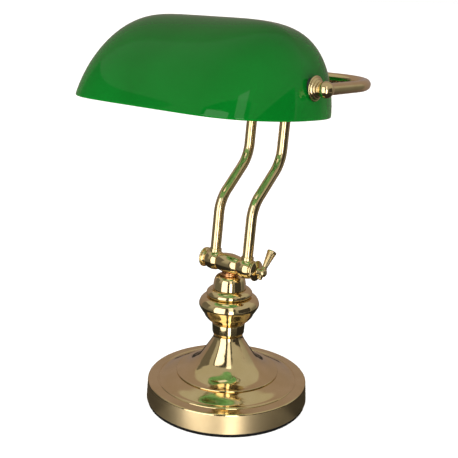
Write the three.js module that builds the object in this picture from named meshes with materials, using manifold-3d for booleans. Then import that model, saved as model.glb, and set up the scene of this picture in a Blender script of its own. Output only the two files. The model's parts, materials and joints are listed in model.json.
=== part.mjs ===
// Banker desk lamp: weighted brass base, turned column, two S-bent arms on a clamped pivot,
// a U-shaped yoke and a green glass shade that turns between the yoke's two ball ends.
//
// Millimetres. +Z is up, -Y is the front (where the user sits), X runs along the shade.
// The origin is the middle of the base's underside.
import * as THREE from "three";
import { mergeVertices } from "three/addons/utils/BufferGeometryUtils.js";
import Module from "manifold-3d";

const wasm = await Module();
wasm.setup();

// ---------------------------------------------------------------- driving dimensions

// Clearances between neighbouring pieces.
const FIT = 0.3; // between faces that touch
const RUNNING = 0.35; // radial play of a turning or inserted round piece
const SOCKET = 0.5; // radial play of a tube in its socket

// Base.
const baseRadius = 79; // at the polished rim
const baseFlare = 1.3; // how much wider the side band is at the foot
const padThickness = 3.5;
const padInset = 1; // pad edge, in from the band's foot
const baseHeight = 23.4; // top of the polished rim
const crownRadius = 51; // where the dish meets the flare's foot
const crownRise = 7.6; // crown above the rim
const coverWall = 1.4;
const weightThickness = 11;
const weightGap = 3; // ballast edge to the cover's inside
const recessRadius = 17; // nut recess in the ballast
const recessDepth = 7;
const nutThickness = 4.6;
const inletHeight = 12;
const inletBore = 6.4;
const inletWall = 1.4;
const inletReach = 4.6; // how far the bush reaches in

// Column.
const rodRadius = 5; // M10 threaded tube
const rodBore = 6.4;
const flareHeight = 39;
const flareNeckRadius = 14.4;
const neckHeight = 12.3;
const neckRadius = 16.3;
const bowlHeight = 27.3;
const bowlRadius = 30;
const domeHeight = 7.7;
const domeRadius = 22.2;
const capHeight = 13.1;
const capRadius = 16.2;
const columnWall = 2.2;
const collarRadius = 8.8;
const collarHeight = 4; // up the sides of the barrel that it is saddled to

// Lower pivot.
const knuckleRadius = 10; // at the middle of each barrel
const knuckleEndRadius = 8.3;
const knuckleStand = 0.9; // underside of the centre barrel, above the foot of its own neck
const knuckleNeckRadius = 7;
const knuckleShoulder = 2.05; // arm barrel's length past the tube, at each side
const centreKnuckleLength = 24.4;
const boltRadius = 3;
const endCapRadius = 10;
const endCapLength = 6.4;
const hubWall = 1.3; // round the bolt
const screwHubLength = 9;
const leverLength = 21;
const leverTipRadius = 4.6;
const leverRootRadius = 2.5;
const leverLean = 34; // degrees back from upright

// Arms.
const armDiameter = 10.3;
const armWall = 1;
const armLean = 6; // degrees back
const armReach = 185.1; // pivot axis to yoke bar axis, along the straight tubes
const armOffset = 38.4; // sideways step of the S
const armBend = 43; // degrees
const armBendRadius = 33;
const armStepHeight = 80; // middle of the S above the pivot
const socketDepth = 4.2; // how far a tube goes into its socket
const socketWall = 0.8;
const socketRise = 1.6; // a socket's mouth above its barrel

// Yoke.
const yokeDiameter = 9.7;
const yokeWall = 1;
const yokeDepth = 98; // bar axis to pivot axis
const yokeBendRadius = 49.5;
const yokeTilt = -1.46; // degrees, ball ends a little above the bar
const ballWall = 1.95; // round the leg that enters it
const ballStandOff = 5.7; // cup's top to the ball's middle
const barCollarRadius = 8.4;

// Shade.
const shadeLength = 226.8;
const shadeFront = 71.1; // greatest reach in front of the shade's long axis
const shadeBack = 79.4; // and behind it
const shadeDome = 88.45; // crown height above the widest section
const shadeCut = 11.95; // the rim is cut this far above the widest section
const glassWall = 3.5;
const lengthPower = 5.4;
const frontPower = 1.73;
const backPower = 2.77;
const crownPower = 1.87;
const crownShear = 0.169; // the crown sits behind the rim's middle
const shadeTilt = -2.95; // degrees, in the yoke
const pivotBehindMiddle = 13.6;
const pivotAboveRim = 25.8;

// Shade fittings.
const cupDepth = 4.6;
const cupWall = 1.5;
const cupRim = 1.75; // width of its rim, round the gasket
const gasketWidth = 3.2; // round the nipple
const gasketLip = 1; // how far the gasket stands into the cup
const innerSeat = 8; // inner gasket face, in from the glass's end
const washerThickness = 1.2;
const lockNutAcross = 15;
const lockNutThickness = 5;

// Lampholder and bulb.
const holderRadius = 19.5;
const holderWall = 1.6;
const holderLength = 48;
const holderCapLength = 13;
const capNeckRadius = 11;
const insertRadius = 16.6;
const insertLength = 30;
const lampThreadRadius = 13.2; // E27 cap
const threadWall = 1;
const lampCapLength = 24;
const bulbRadius = 19;
const bulbLength = 84; // glass, past the lampholder's mouth
const bulbNeckRadius = 12.2;
const bulbWall = 1;

// ---------------------------------------------------------------- worked-out places

const radians = THREE.MathUtils.degToRad;
const bandFoot = padThickness + FIT;
const crownHeight = baseHeight + crownRise;
const columnFoot = crownHeight + FIT + 0.1;
const flareTop = columnFoot + flareHeight;
const neckTop = flareTop + FIT + neckHeight;
const bowlTop = neckTop + FIT + bowlHeight;
const domeTop = bowlTop + FIT + domeHeight;
const columnTop = domeTop + FIT + capHeight;
const knuckleFoot = columnTop + FIT;
const pivotHeight = knuckleFoot + knuckleStand + knuckleRadius;
const armKnuckleLength = armDiameter + 2 * knuckleShoulder;
const knuckleGap = FIT;
const screwHubRadius = boltRadius + RUNNING + hubWall;
const armX = centreKnuckleLength / 2 + knuckleGap + armKnuckleLength / 2;
const endCapX = armX + armKnuckleLength / 2 + FIT;
const socketTop = knuckleRadius + socketRise; // mouth of a tube socket, from the pivot axis
const armEnd = socketTop - socketDepth;
const armRadius = armDiameter / 2;
const yokeRadius = yokeDiameter / 2;
const ballRadius = yokeRadius + ballWall;
const gasketRadius = rodRadius + gasketWidth;
const cupRadius = gasketRadius + RUNNING + cupRim;
const shadeHalf = shadeLength / 2;
const pivotSlice = { y: pivotBehindMiddle - crownShear * pivotAboveRim, z: pivotAboveRim + shadeCut };
const cupFoot = shadeEndAt(pivotSlice.y, pivotSlice.z - cupRadius, 0) + FIT;
const cupTop = cupFoot + cupDepth;
const yokeHalfWidth = cupTop + ballStandOff; // centre plane to the middle of a leg
const innerFace = shadeEndAt(pivotSlice.y, pivotSlice.z, glassWall) - innerSeat + glassWall;
const nippleEnd = yokeHalfWidth - yokeRadius - RUNNING - 0.4;

// Half length of the shade at a place in its end, y behind its long axis and z above its widest
// section, for the outside (inset 0) or a surface further in.
function shadeEndAt(y, z, inset) {
  const reach = y < 0 ? shadeFront - inset : shadeBack - inset;
  const across = Math.pow(Math.abs(y) / reach, y < 0 ? frontPower : backPower);
  const up = Math.pow(z / (shadeDome - inset), crownPower);
  return (shadeHalf - inset) * Math.pow(1 - across - up, 1 / lengthPower);
}

// ---------------------------------------------------------------- finishes

const finish = (color, roughness, metalness) =>
  new THREE.MeshStandardMaterial({ color, roughness, metalness });
const brass = finish(0xc9a557, 0.12, 1);
const satinBrass = finish(0xb59a5c, 0.35, 1);
const copper = finish(0xc98a5e, 0.25, 1);
const castIron = finish(0x3a3a3c, 0.8, 0.6);
const steel = finish(0x9a9da0, 0.35, 1);
const feltBlack = finish(0x141414, 0.95, 0);
const rubberBlack = finish(0x1b1b1b, 0.7, 0);
const plasticBlack = finish(0x202020, 0.45, 0);
const ceramicWhite = finish(0xe9e6dc, 0.3, 0);
const greenGlass = finish(0x0f6b2c, 0.06, 0);
const opalGlass = finish(0xf3f1ea, 0.2, 0);

// ---------------------------------------------------------------- solids

const bare = (geometry) => {
  geometry.deleteAttribute("normal");
  geometry.deleteAttribute("uv");
  return mergeVertices(geometry, 1e-4);
};

function solid(geometry) {
  const merged = bare(geometry.clone());
  return new wasm.Manifold(
    new wasm.Mesh({
      numProp: 3,
      vertProperties: merged.attributes.position.array,
      triVerts: new Uint32Array(merged.index.array),
    }),
  );
}

function geometryOf(manifold) {
  const mesh = manifold.getMesh();
  const geometry = new THREE.BufferGeometry();
  geometry.setAttribute("position", new THREE.BufferAttribute(mesh.vertProperties, 3));
  geometry.setIndex(new THREE.BufferAttribute(mesh.triVerts, 1));
  return geometry;
}

const cut = (body, ...tools) =>
  geometryOf(tools.reduce((left, tool) => left.subtract(solid(tool)), solid(body)));
const join = (body, ...more) =>
  geometryOf(more.reduce((sum, piece) => sum.add(solid(piece)), solid(body)));
const common = (a, b) => geometryOf(solid(a).intersect(solid(b)));

// A closed [radius, height] outline turned about Z.
function turned(outline, sides = 24) {
  const points = outline.map(([r, z]) => new THREE.Vector2(r, z));
  let area = 0;
  points.forEach((p, i) => {
    const next = points[(i + 1) % points.length];
    area += p.x * next.y - next.x * p.y;
  });
  if (area < 0) points.reverse();
  const closed = points[0].x < 1e-6 && points[points.length - 1].x < 1e-6;
  if (!closed) points.push(points[0].clone());
  return new THREE.LatheGeometry(points, sides).rotateX(Math.PI / 2);
}

// The same, turned about X: the outline is [radius, x].
const turnedAboutX = (outline, sides = 24) => turned(outline, sides).rotateY(Math.PI / 2);

const ring = (inner, outer, low, high, sides) =>
  turned([[inner, low], [outer, low], [outer, high], [inner, high]], sides);
const disc = (radius, low, high, sides) =>
  turned([[0, low], [radius, low], [radius, high], [0, high]], sides);
const ringAboutX = (inner, outer, from, to, sides) =>
  ring(inner, outer, from, to, sides).rotateY(Math.PI / 2);
const discAboutX = (radius, from, to, sides) => disc(radius, from, to, sides).rotateY(Math.PI / 2);

// Points of an arc in the outline plane, from one angle to another, in degrees.
function arc(centreR, centreZ, radius, from, to, steps) {
  return Array.from({ length: steps + 1 }, (_, i) => {
    const angle = radians(from + ((to - from) * i) / steps);
    return [centreR + radius * Math.cos(angle), centreZ + radius * Math.sin(angle)];
  });
}

// A spun shell: the outline of its outer face, from foot to top, and the same pushed inwards.
function spunShell(outer, wall, sides) {
  const inner = outer.map(([r, z], i) => {
    const [r0, z0] = outer[Math.max(i - 1, 0)];
    const [r1, z1] = outer[Math.min(i + 1, outer.length - 1)];
    const length = Math.hypot(r1 - r0, z1 - z0);
    return [r - (wall * (z1 - z0)) / length, z + (wall * (r1 - r0)) / length];
  });
  inner[0][1] = outer[0][1];
  inner[inner.length - 1][0] = outer[outer.length - 1][0];
  return turned([...outer, ...inner.reverse()], sides);
}

// A curve through outline points given sparsely.
const smooth = (points, steps) =>
  new THREE.SplineCurve(points.map(([r, z]) => new THREE.Vector2(r, z)))
    .getSpacedPoints(steps)
    .map((p) => [p.x, p.y]);

const polygon = (radius, sides) =>
  Array.from({ length: sides }, (_, i) => {
    const angle = (i / sides) * 2 * Math.PI;
    return new THREE.Vector2(radius * Math.cos(angle), radius * Math.sin(angle));
  });

// A hollow tube along a path.
function tube(path, outer, inner, steps) {
  const section = new THREE.Shape(polygon(outer, 10));
  section.holes.push(new THREE.Path(polygon(inner, 6)));
  return new THREE.ExtrudeGeometry(section, { steps, extrudePath: path, bevelEnabled: false });
}

// ---------------------------------------------------------------- assembly

const lamp = new THREE.Group();

function add(group, name, geometry, material) {
  const mesh = new THREE.Mesh(geometry, material);
  mesh.name = name;
  group.add(mesh);
  return mesh;
}

// ---------------------------------------------------------------- base

// The spun dish: a near upright side band, a rounded rim, a flat border and a rise to the crown.
function dishOutline() {
  const border = baseRadius - 10;
  const rise = border - crownRadius;
  return [
    [baseRadius + baseFlare, bandFoot],
    [baseRadius + 0.2, baseHeight - 2],
    ...arc(baseRadius - 1.3, baseHeight - 1.5, 1.5, 0, 90, 3),
    [border, baseHeight + 1],
    [border - 0.22 * rise, baseHeight + 0.3 * crownRise],
    [crownRadius + 0.44 * rise, crownHeight - 0.34 * crownRise],
    [crownRadius, crownHeight],
  ];
}

function makeBase(group) {
  const foot = baseRadius + baseFlare;
  add(group, "base_pad", disc(foot - padInset, 0, padThickness, 40), feltBlack);

  const inletRadius = inletBore / 2 + inletWall;
  const inlet = new THREE.CylinderGeometry(inletRadius + FIT, inletRadius + FIT, 20, 20)
    .translate(0, baseRadius, inletHeight);
  const cover = spunShell([...dishOutline(), [rodRadius + RUNNING, crownHeight + 0.2]], coverWall, 36);
  add(group, "base_cover", cut(cover, inlet), satinBrass);

  // Ballast: a disc with a hub that holds the crown up, a nut recess and a groove for the lead.
  const weightRadius = baseRadius - coverWall - weightGap;
  const low = bandFoot;
  const high = low + weightThickness;
  const hubTop = crownHeight - coverWall - FIT;
  const ballast = turned(
    [
      [rodRadius + RUNNING, low + recessDepth],
      [recessRadius, low + recessDepth],
      [recessRadius, low],
      [weightRadius - 2, low],
      [weightRadius, low + 2],
      [weightRadius, high - 2],
      [weightRadius - 2, high],
      [26, high],
      [22, high + 4],
      [22, hubTop],
      [rodRadius + RUNNING, hubTop],
    ],
    28,
  );
  const groove = new THREE.BoxGeometry(9, weightRadius, 7 + FIT)
    .translate(0, weightRadius / 2 + 10, low + 3.5);
  add(group, "base_weight", cut(ballast, groove), castIron);
  const washerLow = low + recessDepth - FIT - 1.4;
  add(group, "base_washer", ring(rodRadius + RUNNING, 12, washerLow, washerLow + 1.4, 18), steel);
  const nutTop = washerLow - FIT;
  add(group, "base_nut", boredHex(9.2, nutTop - nutThickness, nutTop, rodRadius + RUNNING), steel);

  // Cord inlet: a flanged bush in the back of the side band.
  const wallOut = baseRadius + baseFlare - 0.25;
  const bush = turned(
    [
      [inletBore / 2, wallOut - inletReach],
      [inletBore / 2 + inletWall, wallOut - inletReach],
      [inletBore / 2 + inletWall, wallOut + FIT],
      [inletBore / 2 + inletWall + 1.8, wallOut + FIT],
      [inletBore / 2 + inletWall + 1.2, wallOut + 2],
      [inletBore / 2 + 0.6, wallOut + 2.4],
      [inletBore / 2, wallOut + 1.8],
    ],
    20,
  ).rotateX(-Math.PI / 2).translate(0, 0, inletHeight);
  add(group, "cord_inlet", bush, plasticBlack);
}

function boredHex(circumradius, low, high, bore) {
  return cut(disc(circumradius, low, high, 6), disc(bore, low - 1, high + 1, 16));
}

// ---------------------------------------------------------------- column

function makeColumn(group) {
  const bore = rodRadius + RUNNING;
  const foot = columnFoot;
  const rodTop = pivotHeight - knuckleRadius + 4;
  add(group, "stem_rod", ring(rodBore / 2, rodRadius, bandFoot + 0.6, rodTop, 16), steel);

  const trumpet = smooth(
    [
      [47, foot + 2.1],
      [38.3, foot + 5.8],
      [28.6, foot + 14.6],
      [22.5, foot + 23.4],
      [19.3, foot + 27.7],
      [16.8, foot + 31.9],
      [flareNeckRadius + 0.2, foot + 36],
    ],
    7,
  );
  const flare = [[crownRadius + 0.6, foot], ...trumpet, [flareNeckRadius, flareTop], [bore, flareTop]];
  add(group, "stem_flare", spunShell(flare, columnWall, 26), brass);

  const neckFoot = flareTop + FIT;
  const neck = [
    [bore, neckFoot],
    [neckRadius - 1.6, neckFoot],
    [neckRadius - 0.6, neckFoot + 1.6],
    [neckRadius - 0.2, neckFoot + 5],
    [neckRadius, neckFoot + 9],
    [neckRadius - 0.1, neckTop - 1],
    [neckRadius - 0.8, neckTop],
    [bore, neckTop],
  ];
  add(group, "stem_neck", turned(neck, 22), brass);

  const bowlFoot = neckTop + FIT;
  const bowl = [
    [bore, bowlFoot],
    [neckRadius + 0.4, bowlFoot],
    [19.2, bowlFoot + 2.3],
    [21, bowlFoot + 3.9],
    [24, bowlFoot + 7.6],
    [24.4, bowlFoot + 8.9],
    [25.1, bowlFoot + 10.3],
    [28.3, bowlFoot + 15.2],
    ...arc(bowlRadius - 3.2, bowlFoot + 18.6, 3.2, -45, 30, 3),
    [28.9, bowlFoot + 23],
    [27.2, bowlFoot + 25.3],
    [24.8, bowlTop - 0.3],
    [23.8, bowlTop],
    [bore, bowlTop],
  ];
  add(group, "stem_bowl", turned(bowl, 26), brass);

  const domeFoot = bowlTop + FIT;
  const dome = [
    [bore, domeFoot],
    [domeRadius + 0.2, domeFoot],
    ...arc(domeRadius - 2.2, domeFoot + 2.4, 2.5, -30, 40, 4),
    [20.9, domeFoot + 5.6],
    [19.4, domeFoot + 6.9],
    [capRadius + 0.9, domeTop],
    [bore, domeTop],
  ];
  add(group, "stem_dome", turned(dome, 24), brass);

  const capFoot = domeTop + FIT;
  const cap = [
    [bore, capFoot],
    [capRadius + 0.2, capFoot],
    [capRadius, capFoot + 4],
    [capRadius - 0.7, capFoot + 7.8],
    [capRadius - 1.8, capFoot + 10.2],
    [capRadius - 3.4, capFoot + 11.7],
    [capRadius - 5.2, columnTop],
    [bore, columnTop],
  ];
  add(group, "stem_cap", turned(cap, 22), brass);

  const collarFoot = columnTop + FIT;
  const sleeve = ring(knuckleNeckRadius + FIT, collarRadius, collarFoot, collarFoot + collarHeight, 24);
  const saddle = barrel(centreKnuckleLength, boltRadius, FIT).translate(0, 0, pivotHeight);
  add(group, "collar_ring", cut(sleeve, saddle), copper);
}

// ---------------------------------------------------------------- lower pivot

// A barrel about X, fuller at its middle, from its centre; growth makes it larger all round.
function barrel(length, bore, growth = 0) {
  const half = length / 2;
  const side = [-1, -0.6, 0, 0.6, 1].map((t) => {
    const swell = (knuckleRadius - knuckleEndRadius) * (1 - t * t);
    return [knuckleEndRadius + swell + growth, half * t];
  });
  return turnedAboutX([[bore, -half], ...side, [bore, half]], 16);
}

// A barrel with a boss that takes the end of a tube; the boss points along +Z or -Z.
function socketedBarrel(bore, upward) {
  const boss = disc(armRadius + SOCKET + socketWall, 2, socketTop, 12);
  const socket = disc(armRadius + SOCKET, armEnd - FIT, socketTop + 1, 12);
  const across = discAboutX(bore, -armKnuckleLength, armKnuckleLength, 14);
  if (!upward) {
    boss.rotateX(Math.PI);
    socket.rotateX(Math.PI);
  }
  return cut(join(barrel(armKnuckleLength, bore), boss), socket, across);
}

function makeCentreKnuckle(group) {
  const neck = disc(knuckleNeckRadius, knuckleFoot - pivotHeight, -3, 16);
  const rodHole = disc(rodRadius + RUNNING, -knuckleRadius - 4, 4 + FIT - knuckleRadius, 14);
  const across = discAboutX(boltRadius + RUNNING, -centreKnuckleLength, centreKnuckleLength, 14);
  const body = cut(join(barrel(centreKnuckleLength, boltRadius + RUNNING), neck), rodHole, across);
  add(group, "centre_knuckle", body, brass).position.z = pivotHeight;
}

// The bolt along the barrel, its button cap on the left and its flange on the right.
function makeBolt(group) {
  const shoulder = endCapX + endCapLength;
  const boltEnd = shoulder + screwHubLength - 2;
  add(group, "pivot_bolt", discAboutX(boltRadius, -shoulder + 2.6, boltEnd, 20), steel);
  const hole = boltRadius + RUNNING;
  const neck = knuckleEndRadius - 0.5;
  const flange = [
    [hole, endCapX],
    [neck, endCapX],
    [neck - 0.2, endCapX + 1.2],
    [endCapRadius - 0.8, endCapX + 3.4],
    [endCapRadius, endCapX + 4.2],
    [endCapRadius - 0.2, endCapX + 4.8],
    [screwHubRadius + 0.2, shoulder],
    [hole, shoulder],
  ];
  add(group, "clamp_flange", turnedAboutX(flange, 20), brass);
  const button = [
    [hole, endCapX],
    [neck, endCapX],
    [neck - 0.2, endCapX + 1.2],
    [endCapRadius - 0.8, endCapX + 3.4],
    [endCapRadius, endCapX + 4.2],
    [endCapRadius - 0.4, endCapX + 5.2],
    [endCapRadius - 4, shoulder - 0.3],
    [0, shoulder],
    [0, shoulder - 2.3],
    [hole, shoulder - 2.3],
  ];
  add(group, "bolt_button", turnedAboutX(button, 20).rotateY(Math.PI), brass);
}

// ---------------------------------------------------------------- arms

// Middle line of an arm: up, back across the S and up again, in the arm's own plane.
function armPath() {
  const bend = radians(armBend);
  const rise = armBendRadius * Math.sin(bend);
  const run = armBendRadius * (1 - Math.cos(bend));
  const slopeRun = armOffset - 2 * run;
  const slopeRise = slopeRun / Math.tan(bend);
  const start = armStepHeight - rise - slopeRise / 2;
  const place = (y, z) => new THREE.Vector3(0, y, z);
  const path = new THREE.CurvePath();
  const bendCurve = (centreY, centreZ, from, to) => {
    const flat = new THREE.ArcCurve(0, 0, armBendRadius, from, to, to < from);
    const curve = new THREE.Curve();
    curve.getPoint = (t) => {
      const p = flat.getPoint(t);
      return place(centreY + p.x, centreZ + p.y);
    };
    return curve;
  };
  const lowerEnd = place(run, start + rise);
  const upperStart = place(armOffset - run, lowerEnd.z + slopeRise);
  const top = upperStart.z + rise;
  path.add(new THREE.LineCurve3(place(0, armEnd), place(0, start)));
  path.add(bendCurve(armBendRadius, start, Math.PI, Math.PI - bend));
  path.add(new THREE.LineCurve3(lowerEnd, upperStart));
  path.add(bendCurve(armOffset - armBendRadius, top, -bend, 0));
  path.add(new THREE.LineCurve3(place(armOffset, top), place(armOffset, armReach - armEnd)));
  return path;
}

function makeArms(group) {
  for (const [side, x] of [["left", -armX], ["right", armX]]) {
    const knuckle = socketedBarrel(boltRadius + RUNNING, true);
    add(group, "arm_knuckle_" + side, knuckle, brass).position.x = x;
    const arm = tube(armPath(), armRadius, armRadius - armWall, 24);
    add(group, "arm_" + side, arm, brass).position.x = x;
    const clamp = socketedBarrel(yokeRadius + RUNNING, false);
    add(group, "yoke_clamp_" + side, clamp, brass).position.set(x, armOffset, armReach);
  }
}

// ---------------------------------------------------------------- thumb screw

function makeThumbScrew(group) {
  const foot = endCapX + endCapLength + FIT;
  const tip = foot + screwHubLength;
  const bolt = boltRadius + RUNNING;
  const hub = turnedAboutX(
    [
      [bolt, foot],
      [screwHubRadius - 0.4, foot],
      [screwHubRadius, foot + 0.6],
      [screwHubRadius, tip - 2.2],
      [screwHubRadius - 1, tip - 0.8],
      [0, tip],
      [0, tip - 1.8],
      [bolt, tip - 1.8],
    ],
    18,
  );
  const middle = foot + screwHubLength / 2;
  const stub = disc(leverRootRadius + 0.3, -screwHubRadius - 2.6, -bolt - 1, 12).translate(middle, 0, 0);
  const root = disc(leverRootRadius + 0.9, bolt + 1, screwHubRadius + 1.4, 12).translate(middle, 0, 0);
  const leverFoot = bolt + 0.9;
  const leverHole = disc(leverRootRadius - 0.4 + RUNNING, leverFoot - FIT, screwHubRadius + 3, 12)
    .translate(middle, 0, 0);
  const pivot = new THREE.Group();
  pivot.rotation.x = -radians(leverLean);
  group.add(pivot);
  add(pivot, "screw_hub", cut(join(hub, stub, root), leverHole), brass);
  const shoulder = screwHubRadius + 1.4 + FIT;
  const lever = turned(
    [
      [0, leverFoot],
      [leverRootRadius - 0.4, leverFoot],
      [leverRootRadius - 0.4, shoulder],
      [leverRootRadius, shoulder],
      [leverTipRadius - 0.5, leverLength - 2.2],
      [leverTipRadius, leverLength - 1.6],
      [leverTipRadius, leverLength + 0.4],
      [leverTipRadius - 1, leverLength + 1.6],
      [0, leverLength + 2],
    ],
    14,
  );
  add(pivot, "screw_lever", lever, brass).position.x = middle;
}

// ---------------------------------------------------------------- yoke

// The yoke's middle line, from the left ball round the back bar to the right ball.
function yokePath() {
  const near = -yokeDepth + ballRadius - socketDepth + 0.9;
  const path = new THREE.CurvePath();
  const place = (x, y) => new THREE.Vector3(x, y, 0);
  const corner = (sign) => {
    const curve = new THREE.Curve();
    curve.getPoint = (t) => {
      const angle = ((sign < 0 ? t : 1 - t) * Math.PI) / 2;
      const x = yokeHalfWidth - yokeBendRadius * (1 - Math.cos(angle));
      return place(sign * x, yokeBendRadius * (Math.sin(angle) - 1));
    };
    return curve;
  };
  const straight = yokeHalfWidth - yokeBendRadius;
  path.add(new THREE.LineCurve3(place(-yokeHalfWidth, near), place(-yokeHalfWidth, -yokeBendRadius)));
  path.add(corner(-1));
  path.add(new THREE.LineCurve3(place(-straight, 0), place(straight, 0)));
  path.add(corner(1));
  path.add(new THREE.LineCurve3(place(yokeHalfWidth, -yokeBendRadius), place(yokeHalfWidth, near)));
  return path;
}

function makeYoke(group) {
  add(group, "yoke_tube", tube(yokePath(), yokeRadius, yokeRadius - yokeWall, 40), brass);
  const collarHalf = armX - armKnuckleLength / 2 - FIT;
  const collar = ringAboutX(yokeRadius + RUNNING, barCollarRadius, -collarHalf, collarHalf, 20);
  const tapped = disc(2.2, 0, barCollarRadius + 2, 10).rotateX(Math.PI);
  add(group, "bar_collar", cut(collar, tapped), brass);
  const screw = disc(1.9, -barCollarRadius + 0.4, -yokeRadius - FIT, 10);
  add(group, "bar_collar_screw", screw, steel);

  for (const [side, sign] of [["left", -1], ["right", 1]]) {
    const end = new THREE.Group();
    end.position.y = -yokeDepth;
    end.rotation.z = sign < 0 ? Math.PI : 0;
    group.add(end);
    add(end, "ball_" + side, ballEnd(sign), brass);
    add(end, "nipple_" + side, ringAboutX(rodBore / 2, rodRadius, innerFace - 12, nippleEnd, 14), steel);
  }
}

// A ball on the end of a leg: the tube enters from behind, the threaded nipple from the shade.
function ballEnd(sign) {
  const x = yokeHalfWidth;
  const ball = new THREE.SphereGeometry(ballRadius, 16, 10).translate(x, 0, 0);
  const neck = discAboutX(rodRadius + 1.2, cupTop + FIT, x - 1, 16);
  const nippleHole = discAboutX(rodRadius + RUNNING, x - ballRadius - 1, nippleEnd + FIT, 14);
  const legHole = disc(yokeRadius + RUNNING, ballRadius - socketDepth + 0.9 - FIT, ballRadius + 3, 14)
    .rotateX(sign < 0 ? Math.PI / 2 : -Math.PI / 2)
    .translate(x, 0, 0);
  return cut(join(ball, neck), nippleHole, legHole);
}

// ---------------------------------------------------------------- shade

// The glass's surface, set in by inset and cut off at the rim; closed across the rim.
function glassBody(inset, rows, columns, rimDrop) {
  const half = shadeHalf - inset;
  const dome = shadeDome - inset;
  const rim = shadeCut - rimDrop;
  const full = 1 - Math.pow(Math.max(rim, 0) / dome, crownPower);
  const section = (turn, row) => {
    const level = full * Math.cos((row / rows) * (Math.PI / 2)) ** 2;
    const z = row === rows ? dome : dome * Math.pow(1 - level, 1 / crownPower);
    const front = Math.sin(turn) < 0;
    const reach = front ? shadeFront - inset : shadeBack - inset;
    const power = front ? frontPower : backPower;
    const width = half * Math.pow(level, 1 / lengthPower);
    const depth = reach * Math.pow(level, 1 / power);
    const along = Math.sign(Math.cos(turn)) * Math.pow(Math.abs(Math.cos(turn)), 2 / lengthPower);
    const across = Math.sign(Math.sin(turn)) * Math.pow(Math.abs(Math.sin(turn)), 2 / power);
    return [width * along, depth * across + crownShear * (z - shadeCut), z - shadeCut];
  };
  // Columns are spread evenly along the rim, because the powers crowd them at the corners.
  const turns = evenTurns((turn) => section(turn, 0), columns);
  const vertices = [];
  for (let row = 0; row < rows; row++) {
    turns.forEach((turn) => vertices.push(...section(turn, row)));
  }
  const top = vertices.length / 3;
  vertices.push(...section(0, rows));
  const floor = top + 1;
  vertices.push(0, crownShear * (rim - shadeCut), rim - shadeCut);
  const faces = [];
  for (let column = 0; column < columns; column++) {
    const next = (column + 1) % columns;
    faces.push(floor, next, column);
    for (let row = 0; row < rows - 1; row++) {
      const a = row * columns + column;
      const b = row * columns + next;
      faces.push(a, b, b + columns, a, b + columns, a + columns);
    }
    const last = (rows - 1) * columns;
    faces.push(last + column, last + next, top);
  }
  const geometry = new THREE.BufferGeometry();
  geometry.setAttribute("position", new THREE.Float32BufferAttribute(vertices, 3));
  geometry.setIndex(faces);
  return geometry;
}

function evenTurns(pointAt, count) {
  const fine = 4000;
  const lengths = [0];
  let previous = pointAt(0);
  for (let i = 1; i <= fine; i++) {
    const point = pointAt((i / fine) * 2 * Math.PI);
    lengths.push(lengths[i - 1] + Math.hypot(point[0] - previous[0], point[1] - previous[1]));
    previous = point;
  }
  const step = lengths[fine] / count;
  let i = 0;
  return Array.from({ length: count }, (_, n) => {
    while (lengths[i] < n * step) i++;
    return (i / fine) * 2 * Math.PI;
  });
}

function makeShade(group) {
  const glass = new THREE.Group();
  glass.position.set(0, -pivotBehindMiddle, -pivotAboveRim);
  group.add(glass);
  const inPivotFrame = (geometry) => geometry.translate(0, -pivotBehindMiddle, -pivotAboveRim);
  const hole = discAboutX(rodRadius + 0.6, -shadeLength, shadeLength, 14)
    .translate(0, pivotBehindMiddle, pivotAboveRim);
  const rows = 8;
  const columns = 44;
  const shell = cut(glassBody(0, rows, columns, 0), glassBody(glassWall, rows, columns, 1), hole);
  add(glass, "shade_glass", shell, greenGlass);

  const outside = inPivotFrame(glassBody(-FIT, rows, columns, 0));
  const cavity = inPivotFrame(glassBody(glassWall + FIT, rows, columns, 1));
  const bore = rodRadius + RUNNING;
  for (const [side, sign] of [["left", -1], ["right", 1]]) {
    const end = new THREE.Group();
    end.rotation.z = sign < 0 ? Math.PI : 0;
    group.add(end);
    // The end group on the left is turned half round, so its glass is turned back for the cuts.
    const facing = (geometry) => geometry.clone().rotateZ(sign < 0 ? Math.PI : 0);
    const outerRing = ringAboutX(bore, gasketRadius, innerFace, cupFoot + gasketLip - FIT, 16);
    add(end, "outer_gasket_" + side, cut(outerRing, facing(outside)), rubberBlack);
    const innerRing = ringAboutX(bore, gasketRadius, innerFace, cupTop, 16);
    add(end, "inner_gasket_" + side, common(innerRing, facing(cavity)), rubberBlack);
    add(end, "cup_" + side, turnedAboutX(cupOutline(), 20), brass);
    const washerTop = innerFace - FIT;
    const washer = ringAboutX(bore, gasketRadius + 0.4, washerTop - washerThickness, washerTop, 18);
    add(end, "inner_washer_" + side, washer, brass);
  }
}

// The stepped cup that hides the hole in the glass and holds the outer gasket.
function cupOutline() {
  const bore = rodRadius + RUNNING;
  const floor = cupTop - cupWall;
  return [
    [cupRadius - 1, cupFoot],
    [cupRadius, cupFoot],
    [cupRadius, cupFoot + 1.1],
    [cupRadius - 0.7, cupFoot + 1.5],
    [cupRadius - 1.1, cupFoot + 1.6],
    [cupRadius - 1.5, cupFoot + 2.1],
    [cupRadius - 3, cupFoot + 3.3],
    [rodRadius + 1.6, cupTop],
    [bore, cupTop],
    [bore, floor],
    [gasketRadius + RUNNING, cupFoot + gasketLip],
  ];
}

// ---------------------------------------------------------------- lampholder and bulb

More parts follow.
